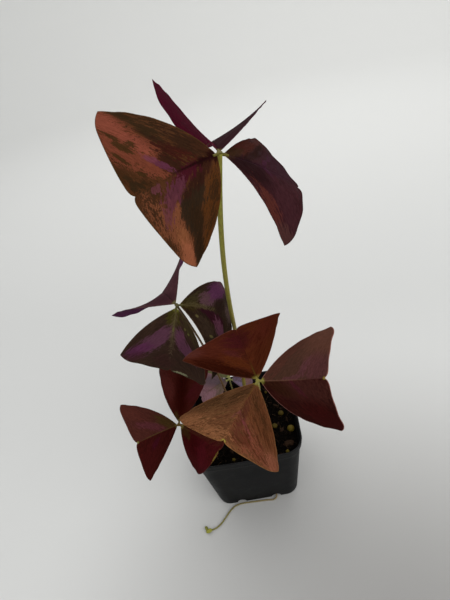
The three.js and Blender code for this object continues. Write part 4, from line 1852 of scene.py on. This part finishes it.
# Salmon and rust in ragged flames over olive brown, with violet beside the midrib.
SALMON_FRONT = BladeFinish(
    "leaf_orange", "4c2d19", "3a2212", crease="1c0708", crease_cover=0.85, crease_reach=0.8,
    crease_width=0.8, rim="5a4420", base="24120b", base_length=1.2, under="6a2438", seed=1,
    washes=(
        Wash(
            "4e2c12", ((12, 14, 15, 5, 47), (21, 26, 11, 2.6, 50)), 0.9, flecks=0.6, soft=0.15,
            half=1,
        ),
        Wash("50311d", ((16, -19, 17, 5, -50),), 0.8, 0.4, 0.9, 0.15, half=-1),
        Wash(
            "673525", (
                (31, -19, 18, 7.2, -74), (26, -7, 8, 4.6, -56), (31, -29, 9, 4.4, -64),
                (24, -14, 7, 3, -62),
            ), ragged=0.3, flecks=0.45, soft=0.1, half=-1,
        ),
        Wash(
            "763d2e", ((32.2, -30, 8, 3.4, -68), (27.4, -17, 9, 2.4, -64)), 0.85, flecks=0.5,
            soft=0.3,
        ),
        Wash(
            "33200f", ((36, -6, 9, 3.4, -72), (33.4, -2, 7, 3.4, -30), (18, -24, 14, 4, -54)), 0.88,
            0.3, 1.3, 0.12, 0.5,
        ),
        Wash(
            "33230f", (
                (31.4, -17, 4.6, 1.4, -66), (28.6, -17, 2.8, 0.9, -64), (33, -23, 4.5, 0.8, -62),
                (34.8, -14, 4, 0.7, -70), (31.5, -5.5, 2.2, 0.8, -60),
            ), 0.9, 0.35, 0.5, 0.12,
        ),
        Wash(
            "6d3f29", ((31.8, 21, 15, 4.8, 80), (35, 11, 11, 4, 88), (28, 13, 6, 2.4, 76)),
            flecks=0.5, soft=0.12, half=1,
        ),
        Wash("76472c", ((31, 22, 4.5, 2.8, 60),), 0.7, flecks=0.4, soft=0.3),
        Wash("884f36", ((32.4, 30, 7, 3.2, 80),), 0.9, flecks=0.3, soft=0.3),
        Wash(
            "2a1b0e", (
                (36, 9, 12, 3.8, 88), (33, 4, 8, 4, 60), (36, 22, 6, 1.8, -76), (9, 12, 9, 3.2, 50),
                (17, 21, 9, 3, 50), (17, -21, 15, 4.6, -48),
            ), 0.88, 0.3, 1.2, 0.12, 0.5,
        ),
        Wash(
            "281d13",
            ((20, 11.6, 9.5, 4.4, 36), (23.6, 18.5, 6.5, 3.8, 72), (26.6, 28, 8, 2.3, 64)),
            ragged=0.26, flecks=0.4, soft=0.08,
        ),
        Wash("2a1a0d", ((22, 18, 5, 3, 70), (25.5, 27, 6, 1.8, 64)), 0.7, flecks=0.8, soft=0.2),
        Wash("2b150e", ((12, 4.2, 11, 2.6, 24),), 0.9, 0.35, 0.5, 0.2, half=1),
        Wash(
            "2a190f", ((9, -6.5, 14, 7.5, -38), (19.5, -15, 7, 2, -56)), 0.9, 0.4, 0.7, 0.2,
            half=-1,
        ),
        Wash("2b170e", ((19.5, -3.6, 6.5, 3.4, -56),), 0.9, 0.35, 0.5, 0.15, half=-1),
        Wash("33130e", ((15.5, -7, 7, 2.6, -54),), 0.8, 0.4, 0.8, 0.2),
        Wash("421a11", ((12, -3.4, 4, 1.3, -40),), 0.55, 0.4, 1, 0.2, 0.2),
        Wash("3a1f12", ((4, -3, 5, 2.6, -50),), 0.5, 0.4, 0.8, 0.2),
        Wash("1c0606", ((8, 0.3, 11, 1.5, 3), (1.5, 0, 3.5, 3)), 0.9, 0.3, 0.3, 0.4),
        Wash(
            "2c1e10",
            ((20, -19, 6.5, 1.9, -58), (25, -29, 6, 1.7, -58), (35.4, -3.4, 3.4, 1.6, -60)), 0.9,
            0.4, 0.8, 0.15,
        ),
        Wash("380e18", ((18, 2.4, 7.6, 2.8, 14),), 0.95, 0.3, 0.4, 0.25),
        Wash("4d2630", ((22.6, 4.6, 4.6, 2.4, 28), (27, 7.2, 5.4, 3, 44)), 0.9, 0.4, 0.5, 0.2),
        Wash("562d33", ((31.4, 11.6, 4.6, 1.8, 62), (30, 1.6, 2.4, 1.2, 15)), 0.75, 0.4, 0.5, 0.2),
        Wash("54283a", ((23.6, -5.6, 6.4, 1, -56),), 0.8, 0.4, 0.4, 0.2),
        Wash("61323a", ((25.8, -9.2, 2.6, 1.2, -50),), 0.8, 0.4, 0.5, 0.2),
    ),
)
# Blackish maroon with dull rust and a violet bloom.
DARK_MAROON = BladeFinish(
    "leaf_maroon", "2b1417", "37191c", crease="1e0c1c", crease_cover=0.4, rim="442626",
    base="5c5428", base_length=2.6, under="5a1a40", seed=2,
    washes=(
        Wash("431e16", ((13, 15, 20, 6.5, 52),), 0.9, 0.5, 0.4, 0.2),
        Wash("4a2c28", ((26, 32, 8, 4.5, 58),), 0.6, soft=0.2),
        Wash("210f0a", ((17, 9.5, 12, 2.2, 52), (22, 18, 10, 1.4, 57)), 0.9, 0.6, 0.6, 0.15),
        Wash("2c131c", ((31, 9, 12, 7.5, 62), (24, 0, 12, 3.4, 5)), 0.75, 0.5, 0.4, 0.25),
        Wash("3e1b30", ((25, 11, 11, 0.8, 58), (20.5, -3, 4, 1, -66)), 0.5, 0.7, 0.6, 0.25),
        Wash("1e0c0d", ((10, -4, 13, 6.5, -38),), 0.9, 0.3, 0.2, 0.3),
        Wash("371c20", ((29, -20, 15, 6, -64), (37, -6, 5, 9, 80)), 0.7, 0.4, 0.4, 0.3),
        Wash("4c241d", ((18, -21.5, 10, 2.8, -52),), 0.8, 0.6, 0.6, 0.2),
        Wash("442a27", ((28, -33, 7, 4, -50),), 0.7, soft=0.3),
        Wash("332012", ((5, 4, 9, 3, 45),), 0.85, soft=0.3),
    ),
)
# Deep wine, seen nearly edge-on, with a darker right half.
WINE_BACK = BladeFinish(
    "leaf_wine", "480a20", "3a0818", crease="2a0a16", rim="4a1430", base="5a4a28", under="48041c",
    seed=3,
    washes=(
        Wash("551029", ((16, 16, 16, 2.5, 50),), 0.6, soft=0.3),
        Wash("2a1418", ((20, -16, 30, 22, -45),), 0.95, 0.1, 0.1, half=-1),
        Wash("3a242a", ((30, -30, 10, 7, -50),), 0.7, soft=0.3, half=-1),
        Wash("46202a", ((36, 36, 7, 6, 50),), 0.5, soft=0.3, half=1),
    ),
)
# Red brown, darkest along its left margin and warmer on the right half.
BROWN_BACK = BladeFinish(
    "leaf_red_brown", "441d0f", "38160d", crease="5a501c", crease_cover=0.55, crease_reach=0.5,
    crease_width=0.9, rim="6a4438", base="7c7434", base_length=4, under="4c1834", seed=4,
    washes=(
        Wash("562815", ((20, -12, 60, 60),), 0.9, 0, 0, half=-1),
        Wash("481e13", ((29, 17, 14, 8, 70),), 0.8, 0.4, 0.4, 0.5, half=1),
        Wash("280a03", ((12, 16, 22, 6.5, 52),), 0.95, 0.5, 0.5, 0.4, half=1),
        Wash("4e240e", ((17, 8, 10, 4, 46), (12, 3, 6, 2, 20)), 0.8, 0.5, 0.5, 0.5, half=1),
        Wash("280e04", ((4.5, 6, 8, 3.5, 48),), 0.8, soft=0.4),
        Wash("3a1114", ((29.5, 1.5, 9, 5.5, 85),), 0.8, 0.4, 0.3, 0.5),
        Wash("481d22", ((23, 9, 6, 2, 50),), 0.4, 0.5, 0.3, 0.5),
        Wash("4e2822", ((34, 32, 8, 4, 60),), 0.7, soft=0.4),
        Wash("582419", ((28, -21, 15, 8, -58),), 0.8, 0.4, 0.4, 0.6, half=-1),
        Wash("4a2010", ((13, -6, 11, 4, -35),), 0.6, 0.5, 0.5, 0.5, half=-1),
        Wash("381308", ((16, -10, 20, 10, -48), (25, 17, 12, 6, 60)), 0.6, 1, 1.2, 0.2, 0.8),
    ),
)
# Greyed brown on the left half and deep maroon on the right, with a pale rim.
BROWN_RIGHT = BladeFinish(
    "leaf_maroon", "2b0f0d", "34140f", crease="6c4a3a", crease_cover=0.45, crease_reach=0.85,
    crease_width=0.5, rim="94645a", rim_cover=0.75, base="8c8a3c", under="4e1834", seed=5,
    washes=(
        Wash("442c22", ((20, 18, 60, 60),), 1, 0, 0, half=1),
        Wash("55352a", ((34, 27, 16, 11, 80),), 0.9, 0.15, 0.12, 0.6, half=1),
        Wash("502c2e", ((33, 6, 8, 9, 80),), 0.7, 0.15, 0.12, 0.5, half=1),
        Wash("4c2720", ((12, 14, 14, 4, 50),), 0.5, 0.5, 0.6, 0.5, half=1),
        Wash("563035", ((20, 1.2, 7, 1.6, 10), (25, 6, 6, 1.8, 62)), 0.6, 0.3, 0.3, 0.4, half=1),
        Wash("40211c", ((25, -5, 17, 7, -14),), 0.85, 0.3, 0.3, 0.6, half=-1),
        Wash("441824", ((20.5, -4, 6.5, 1.3, -50),), 0.55, 0.3, 0.3, 0.4, half=-1),
        Wash("2e170c", ((9, -3, 11, 3.4, -30),), 0.8, 0.3, 0.3, 0.4, half=-1),
        Wash("380e0d", ((31, -25, 14, 7, -60),), 0.75, 0.3, 0.3, 0.5, half=-1),
        Wash("8a7a30", ((37.7, 0, 1, 0.8),), 0.8, 0, 0, 0.4),
    ),
)
# Tawny orange in dry-looking streaks over brown, and the brightest rim.
ORANGE_FRONT = BladeFinish(
    "leaf_orange", "50301d", "784e31", crease="5a3e1c", crease_cover=0.6, crease_reach=0.6,
    rim="90663c", rim_cover=0.75, base="80742e", base_length=3, under="5c2434", seed=6, grain=0.36,
    washes=(
        Wash("5e351f", ((17, 14, 24, 13, 46),), 0.85, 0.9, 0.7, 0.3, half=1),
        Wash("6e3b2b", ((32, 15, 15, 6.5, 74),), 0.75, 0.8, 0.7, 0.3, half=1),
        Wash("7c4937", ((33, 32, 8, 5, 70),), 0.75, 0.6, 0.6, 0.4),
        Wash("50281a", ((35.5, 4.5, 4.4, 3, 80), (33, 9, 7, 2.4, 76)), 0.8, 0.7, 0.7, 0.25, half=1),
        Wash("4c251c", ((22, 2.6, 12, 2.6, 12),), 0.75, 0.7, 0.6, 0.25, half=1),
        Wash("6c333c", ((27, 7, 7, 1.1, 58), (24.5, -0.6, 3, 0.8, -30)), 0.4, 0.7, 0.7, 0.3),
        Wash("543b23", ((15, -12, 15, 8, -48),), 0.7, 0.7, 0.7, 0.5, half=-1),
        Wash(
            "402917", ((12, -5, 13, 5, -38), (20, -21, 12, 4.6, -56)), 0.75, 0.9, 0.8, 0.25,
            half=-1,
        ),
        Wash("825537", ((35, -27, 14, 5, -66), (37.5, -11, 3.6, 11, 0)), 0.7, 0.8, 0.8, 0.3),
        Wash("352110", ((11, 6, 10, 4.4, 42), (16, 15, 9, 4, 52)), 0.85, 0.6, 1.2, 0.15, 0.4),
        Wash("321f0f", ((20, -12, 20, 15, -54),), 0.9, 1.5, 1.1, 0.2, 0.85),
        Wash("402312", ((26, 18, 18, 13, 58),), 0.85, 1.5, 1.1, 0.15, 0.95),
        Wash("7c5636", ((25, -14, 17, 11, -58),), 0.4, 1.2, 1.2, 0.3, 1.1),
        Wash("8c8a34", ((40.6, 0, 1.4, 1, 90),), 0.9, 0, 0, 0.4),
    ),
)
# Dusky purple brown.
PURPLE_BACK = BladeFinish(
    "leaf_purple", "3f2329", "482c30", crease="2a1a1a", rim="5c4a42", base="6c6438", under="44203a",
    seed=7,
    washes=(
        Wash("331a20", ((14, 6, 13, 5, 40),), 0.7, soft=0.3),
        Wash("503240", ((34, 30, 10, 7, 60),), 0.6, soft=0.3),
    ),
)
# Dark olive with two violet wedges that point away from the base.
OLIVE_FRONT = BladeFinish(
    "leaf_purple", "2f201a", "38281f", crease="5c5532", crease_cover=0.55, crease_reach=0.62,
    crease_width=0.8, rim="5a4a38", base="7a7834", base_length=3.4, under="4a1c3a", seed=8,
    washes=(
        Wash("36301a", ((12, 13, 10, 3.4, 48),), 0.7, 0.5, 0.9, 0.2, 0.2, half=1),
        Wash("3b3612", ((4.5, -1, 10, 4.4),), 0.9, 0.35, 0.35, 0.4),
        Wash(
            "543342", ((19, -7, 11, 3.8, -44), (26, -13.5, 10, 4.6, -50)), 0.95, 0.3, 0.25, 0.25,
            half=-1,
        ),
        Wash("512743", ((31, -21, 9, 3.2, -62),), 0.85, 0.3, 0.3, 0.3, half=-1),
        Wash(
            "523040", ((19, 5.5, 8, 3.8, 30), (25, 11.5, 9, 4, 62)), 0.95, 0.3, 0.25, 0.25, half=1,
        ),
        Wash("3e2028", ((36, -24, 9, 2.6, -70),), 0.6, 0.3, 0.3, 0.4, half=-1),
        Wash("321d1b", ((36, -5, 5, 7),), 0.7, 0.3, 0.3, 0.4),
        Wash("4e4030", ((14, 0, 14, 2),), 0.6, 0.4, 0.6, 0.4),
        Wash(
            "5e5c2e", ((14, 11, 1, 0.6, 50), (11.5, 8, 1, 0.6, 40), (13.4, 0, 1.4, 0.8)), 0.6, 0,
            0.2, 0.3,
        ),
        # pale strip at the notch: the green margin, partly a painted highlight where light catches it
        Wash("8c8c6c", ((41.4, 8, 6, 0.6, 94),), 0.6, 0.3, 0.6, 0.2),
    ),
)
# Nearly black olive with a violet wedge on the left half.
OLIVE_RIGHT = BladeFinish(
    "leaf_purple", "221710", "2b1e14", crease="4a4228", crease_cover=0.4, crease_reach=0.6,
    rim="6e5c48", rim_cover=0.6, base="4c4818", base_length=2.6, under="4a1c3a", seed=9,
    washes=(
        Wash("2b2209", ((6, 2, 9, 5, 20),), 0.85, 0.4, 0.5, 0.3),
        Wash("332c19", ((11, 8, 10, 3.4, 45),), 0.7, 0.5, 0.7, 0.3, half=1),
        Wash("4c3338", ((20, 10, 11, 4.6, 56), (36, 34, 8, 4, 60)), 0.9, 0.3, 0.25, 0.25, half=1),
        Wash("48233d", ((30, 24, 14, 5.6, 57),), 0.9, 0.3, 0.25, 0.3, half=1),
        Wash("1e110b", ((30, 9, 9, 3.6, 66),), 0.85, 0.4, 0.3, 0.25, half=1),
        Wash("40302c", ((38, 8, 10, 3, 84),), 0.8, 0.3, 0.3, 0.35),
        Wash("5c4d33", ((43, 24, 14, 1.6, 88),), 0.8, 0.3, 0.4, 0.35, half=1),
        Wash(
            "280c15", ((21, -4, 11, 3.8, -28), (28, -5, 5, 3.2, -50)), 0.9, 0.3, 0.25, 0.25,
            half=-1,
        ),
        Wash("4e2c39", ((29.5, -11.5, 8, 3.6, -58),), 0.9, 0.3, 0.3, 0.25, half=-1),
        Wash("2f231a", ((19, -15, 11, 4, -50),), 0.8, 0.4, 0.4, 0.3, half=-1),
        Wash("463d25", ((13, 1, 9, 2, 5),), 0.6, 0.4, 0.5, 0.4),
        Wash("5a5230", ((22.5, -18, 1.8, 0.9, 0), (10.5, -7, 1.2, 0.8, -40)), 0.7, 0, 0.2, 0.3),
    ),
)
# Dark wine red, darkest along the midrib.
WINE_RED_BACK = BladeFinish(
    "leaf_wine_red", "3a120d", "421712", crease="280602", crease_cover=0.5, rim="5a3028",
    base="6a5a24", base_length=2.2, under="4a1430", seed=10,
    washes=(
        Wash("4c1f1b", ((22, 15, 11, 5.5, 60),), 0.8, 0.3, 0.3, 0.45),
        Wash("431316", ((21, -15, 12, 6, -58),), 0.75, 0.3, 0.3, 0.45),
        Wash("2a0602", ((17, 0, 20, 6),), 0.9, 0.2, 0.2, 0.6),
        Wash("46131a", ((19, -8, 6, 1.6, -50),), 0.45, 0.3, 0.3, 0.4),
        Wash("3c2c14", ((2, 2, 5, 2.4, 20),), 0.7, soft=0.4),
    ),
)
# Dull brown over dark wine red, with a thin pale midrib.
WINE_RED_LEFT = BladeFinish(
    "leaf_wine_red", "310d0b", "3a120e", crease="564a24", crease_cover=0.35, crease_reach=1.1,
    crease_width=0.5, rim="6a3c32", base="5e5a24", base_length=3, under="4a1430", seed=11,
    washes=(
        Wash("41201a", ((20, -16, 60, 60),), 1, 0, 0, half=-1),
        Wash("3c1010", ((26, 14, 13, 8, 60),), 0.6, 0.3, 0.3, 0.5, half=1),
        Wash("3d0e1e", ((20.5, 6, 4.5, 2, 50),), 0.55, 0.3, 0.3, 0.4, half=1),
        Wash("3a2b12", ((7, -4.5, 9, 4.5, -35),), 0.85, 0.35, 0.4, 0.4, half=-1),
        Wash("4d2529", ((20, -6, 11, 2.6, -34),), 0.8, 0.35, 0.3, 0.35, half=-1),
        Wash("4a241d", ((28, -22, 10, 5, -58),), 0.7, 0.3, 0.3, 0.45, half=-1),
        Wash("7a7a3c", ((32.7, 0, 0.9, 0.7),), 0.7, 0, 0, 0.4),
    ),
)
# Dark wine red, with a yellowish edge at the notch.
WINE_RED_RIGHT = BladeFinish(
    "leaf_wine_red", "380c0d", "401113", crease="4a3a1c", crease_cover=0.3, crease_reach=0.5,
    rim="6a3a30", base="7c7434", base_length=2.8, under="4a1430", seed=12,
    washes=(
        Wash("3a1a10", ((17, 8, 18, 8, 20),), 0.8, 0.3, 0.3, 0.3, half=1),
        Wash("320608", ((14, -6, 13, 6, -35),), 0.8, 0.25, 0.2, 0.5, half=-1),
        Wash("4a1119", ((23, -11, 11, 4, -62),), 0.55, 0.3, 0.3, 0.5, half=-1),
        Wash("34220f", ((4, -1.5, 6, 3, -20),), 0.8, 0.3, 0.3, 0.4),
        Wash("6e6228", ((31.6, -5, 6, 0.5, 92),), 0.8, 0.2, 0.6, 0.3),
    ),
)
# Greyed pink, as young leaflets are.
PINK_YOUNG = BladeFinish(
    "leaf_pink", "6a4c50", "7a5a60", crease="5a4a34", rim="7a5f58", base="7a7a44", base_length=2.2,
    under="6a3048", seed=13,
    washes=(
        Wash("55483a", ((8, 4, 12, 6, 30),), 0.9, soft=0.5),
        Wash("4a3f44", ((9, -5, 11, 5, -28),), 0.8, soft=0.5),
        Wash("7d5a62", ((17, 5, 6, 3.5, 10),), 0.7, soft=0.4),
    ),
)
# Greyed mauve.
MAUVE_YOUNG = BladeFinish(
    "leaf_pink", "4d3c46", "594a58", crease="4c4434", crease_cover=0.4, rim="6a564e", base="7a7a44",
    base_length=2.2, under="5e3048", seed=14,
    washes=(
        Wash("66586a", ((9, -5, 8, 3, -40),), 0.7, soft=0.3),
        Wash("6e4a3c", ((15, 3, 4, 6, 0),), 0.6, soft=0.4),
    ),
)
# Grey olive with a faint violet wedge on each half.
OLIVE_YOUNG = BladeFinish(
    "leaf_olive", "4c4a30", "5a5638", crease="6a6a3c", rim="6a5a40", base="9a9a50", under="54304a",
    seed=15,
    washes=(
        Wash("4a3038", ((14, 6, 8, 3, 42), (14, -6, 8, 3, -42)), 0.7, soft=0.3),
    ),
)

LEAVES = (
    Leaf(
        "tall", (25, -71, 314), (2, 2, 56), (14, 34, 88), (-18, 3, -86), 1.5,
        StemFinish("petiole skin, olive to moss green", "8a8a3a", "7a6a34", "6a4a2c", 0.45),
        {
            "front": Blade(-135, 7, -50, 38, 50, 47, 4, 5, -51, -22, -29, SALMON_FRONT),
            "right": Blade(16, -29, 8, 39, 48, 52, 6, -8, -2, -46, -19, DARK_MAROON, margin=0.03),
            "back": Blade(95, 3, 18, 40, 56, 46, 32, 30, 35, 19, -36, WINE_BACK, margin=0.03),
        },
    ),
    Leaf(
        "near", (21, -74, 187), (9, -8, 56), (2, -8, 50), (-2, 16, -50), 1.2,
        StemFinish("petiole skin, yellow green", "9a9444", "7a6a3a", "6a4030", 0.45),
        {
            "back": Blade(97, -11, -10, 36, 51, 50, 20, 26, 2, 35, 60, BROWN_BACK),
            "right": Blade(
                -23, 11, 32, 38, 52, 47, -1, -19, -51, -62, 15, BROWN_RIGHT, margin=0.06,
            ),
            "front": Blade(-116, 16, -20, 40, 54, 47, -32, -31, -12, -12, -31, ORANGE_FRONT),
        },
        hub_green="7c7638",
    ),
    Leaf(
        "middle", (-19, -26, 214), (-6, 6, 56), (-4, 4, 60), (6, 20, -50), 0.9,
        StemFinish("petiole skin, brown flushed", "6e5c3a", "5c4630", "5a3428", 0.55),
        {
            "back": Blade(119, 8, -11, 37, 60, 42, -6, 19, 45, 22, -59, PURPLE_BACK, margin=0.03),
            "front": Blade(
                -130, -57, -22, 41, 51, 42, 3, -2, 61, 36, -14, OLIVE_FRONT, margin=0.07,
            ),
            "right": Blade(9, -18, 5, 40, 61, 46, 6, -18, -2, -29, -52, OLIVE_RIGHT, margin=0.05),
        },
        hub_green="4c4828",
    ),
    Leaf(
        "low", (-39, -46, 129), (-10, -6, 56), (-4, -4, 30), (10, 14, -24), 0.95,
        StemFinish("petiole skin, red brown", "7c6a3c", "5e4430", "5a2c28", 0.55),
        {
            "back": Blade(
                70, 43, 23, 37, 51, 45, -41, -42, -32, -32, 6, WINE_RED_BACK, margin=0.05,
            ),
            "left": Blade(
                -125, 38, -45, 33, 46, 46, -38, -3, -11, -36, -34, WINE_RED_LEFT, margin=0.07,
            ),
            "right": Blade(-42, -4, 16, 31, 42, 47, -30, -31, -29, -42, -25, WINE_RED_RIGHT),
        },
        hub_green="5a4a20",
    ),
    Leaf(
        "inner", (-5, 22, 93), (-3, 17, 56), (0, 1, 12), (0, -2, -12), 0.9,
        StemFinish("petiole skin, pale green", "7c7a48", "6e6a40", "6a4a38", 0.4),
        {
            "left": Blade(-164, -6, -6, 26, 34, 48, 6, 24, 5, 5, -20, PINK_YOUNG, margin=0.03),
            "right": Blade(7, -38, 0, 20, 27, 46, 8, 6, 5, 5, 10, MAUVE_YOUNG, margin=0.04),
            "back": Blade(102, 3, 0, 23, 32, 50, -15, 8, 5, 5, -10, OLIVE_YOUNG, margin=0.03),
        },
        hub_green="7c7c48",
    ),
)


def main() -> None:
    """Builds the studio, the pot, the mix, the leaves and the shoot."""
    logging.basicConfig(level=logging.INFO, format="%(message)s")
    Studio().build()
    for part in (NurseryPot(), PottingMix(), *LEAVES, TrailingShoot()):
        for piece in part.build():
            LOG.info("%s: %s, %d faces", type(part).__name__, piece.name, len(piece.data.polygons))
    sizes = {"cad": CAD_BOX, "visual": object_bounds()}
    {key: [list(corner) for corner in box] for key, box in sizes.items()}


if __name__ == "__main__":
    main()
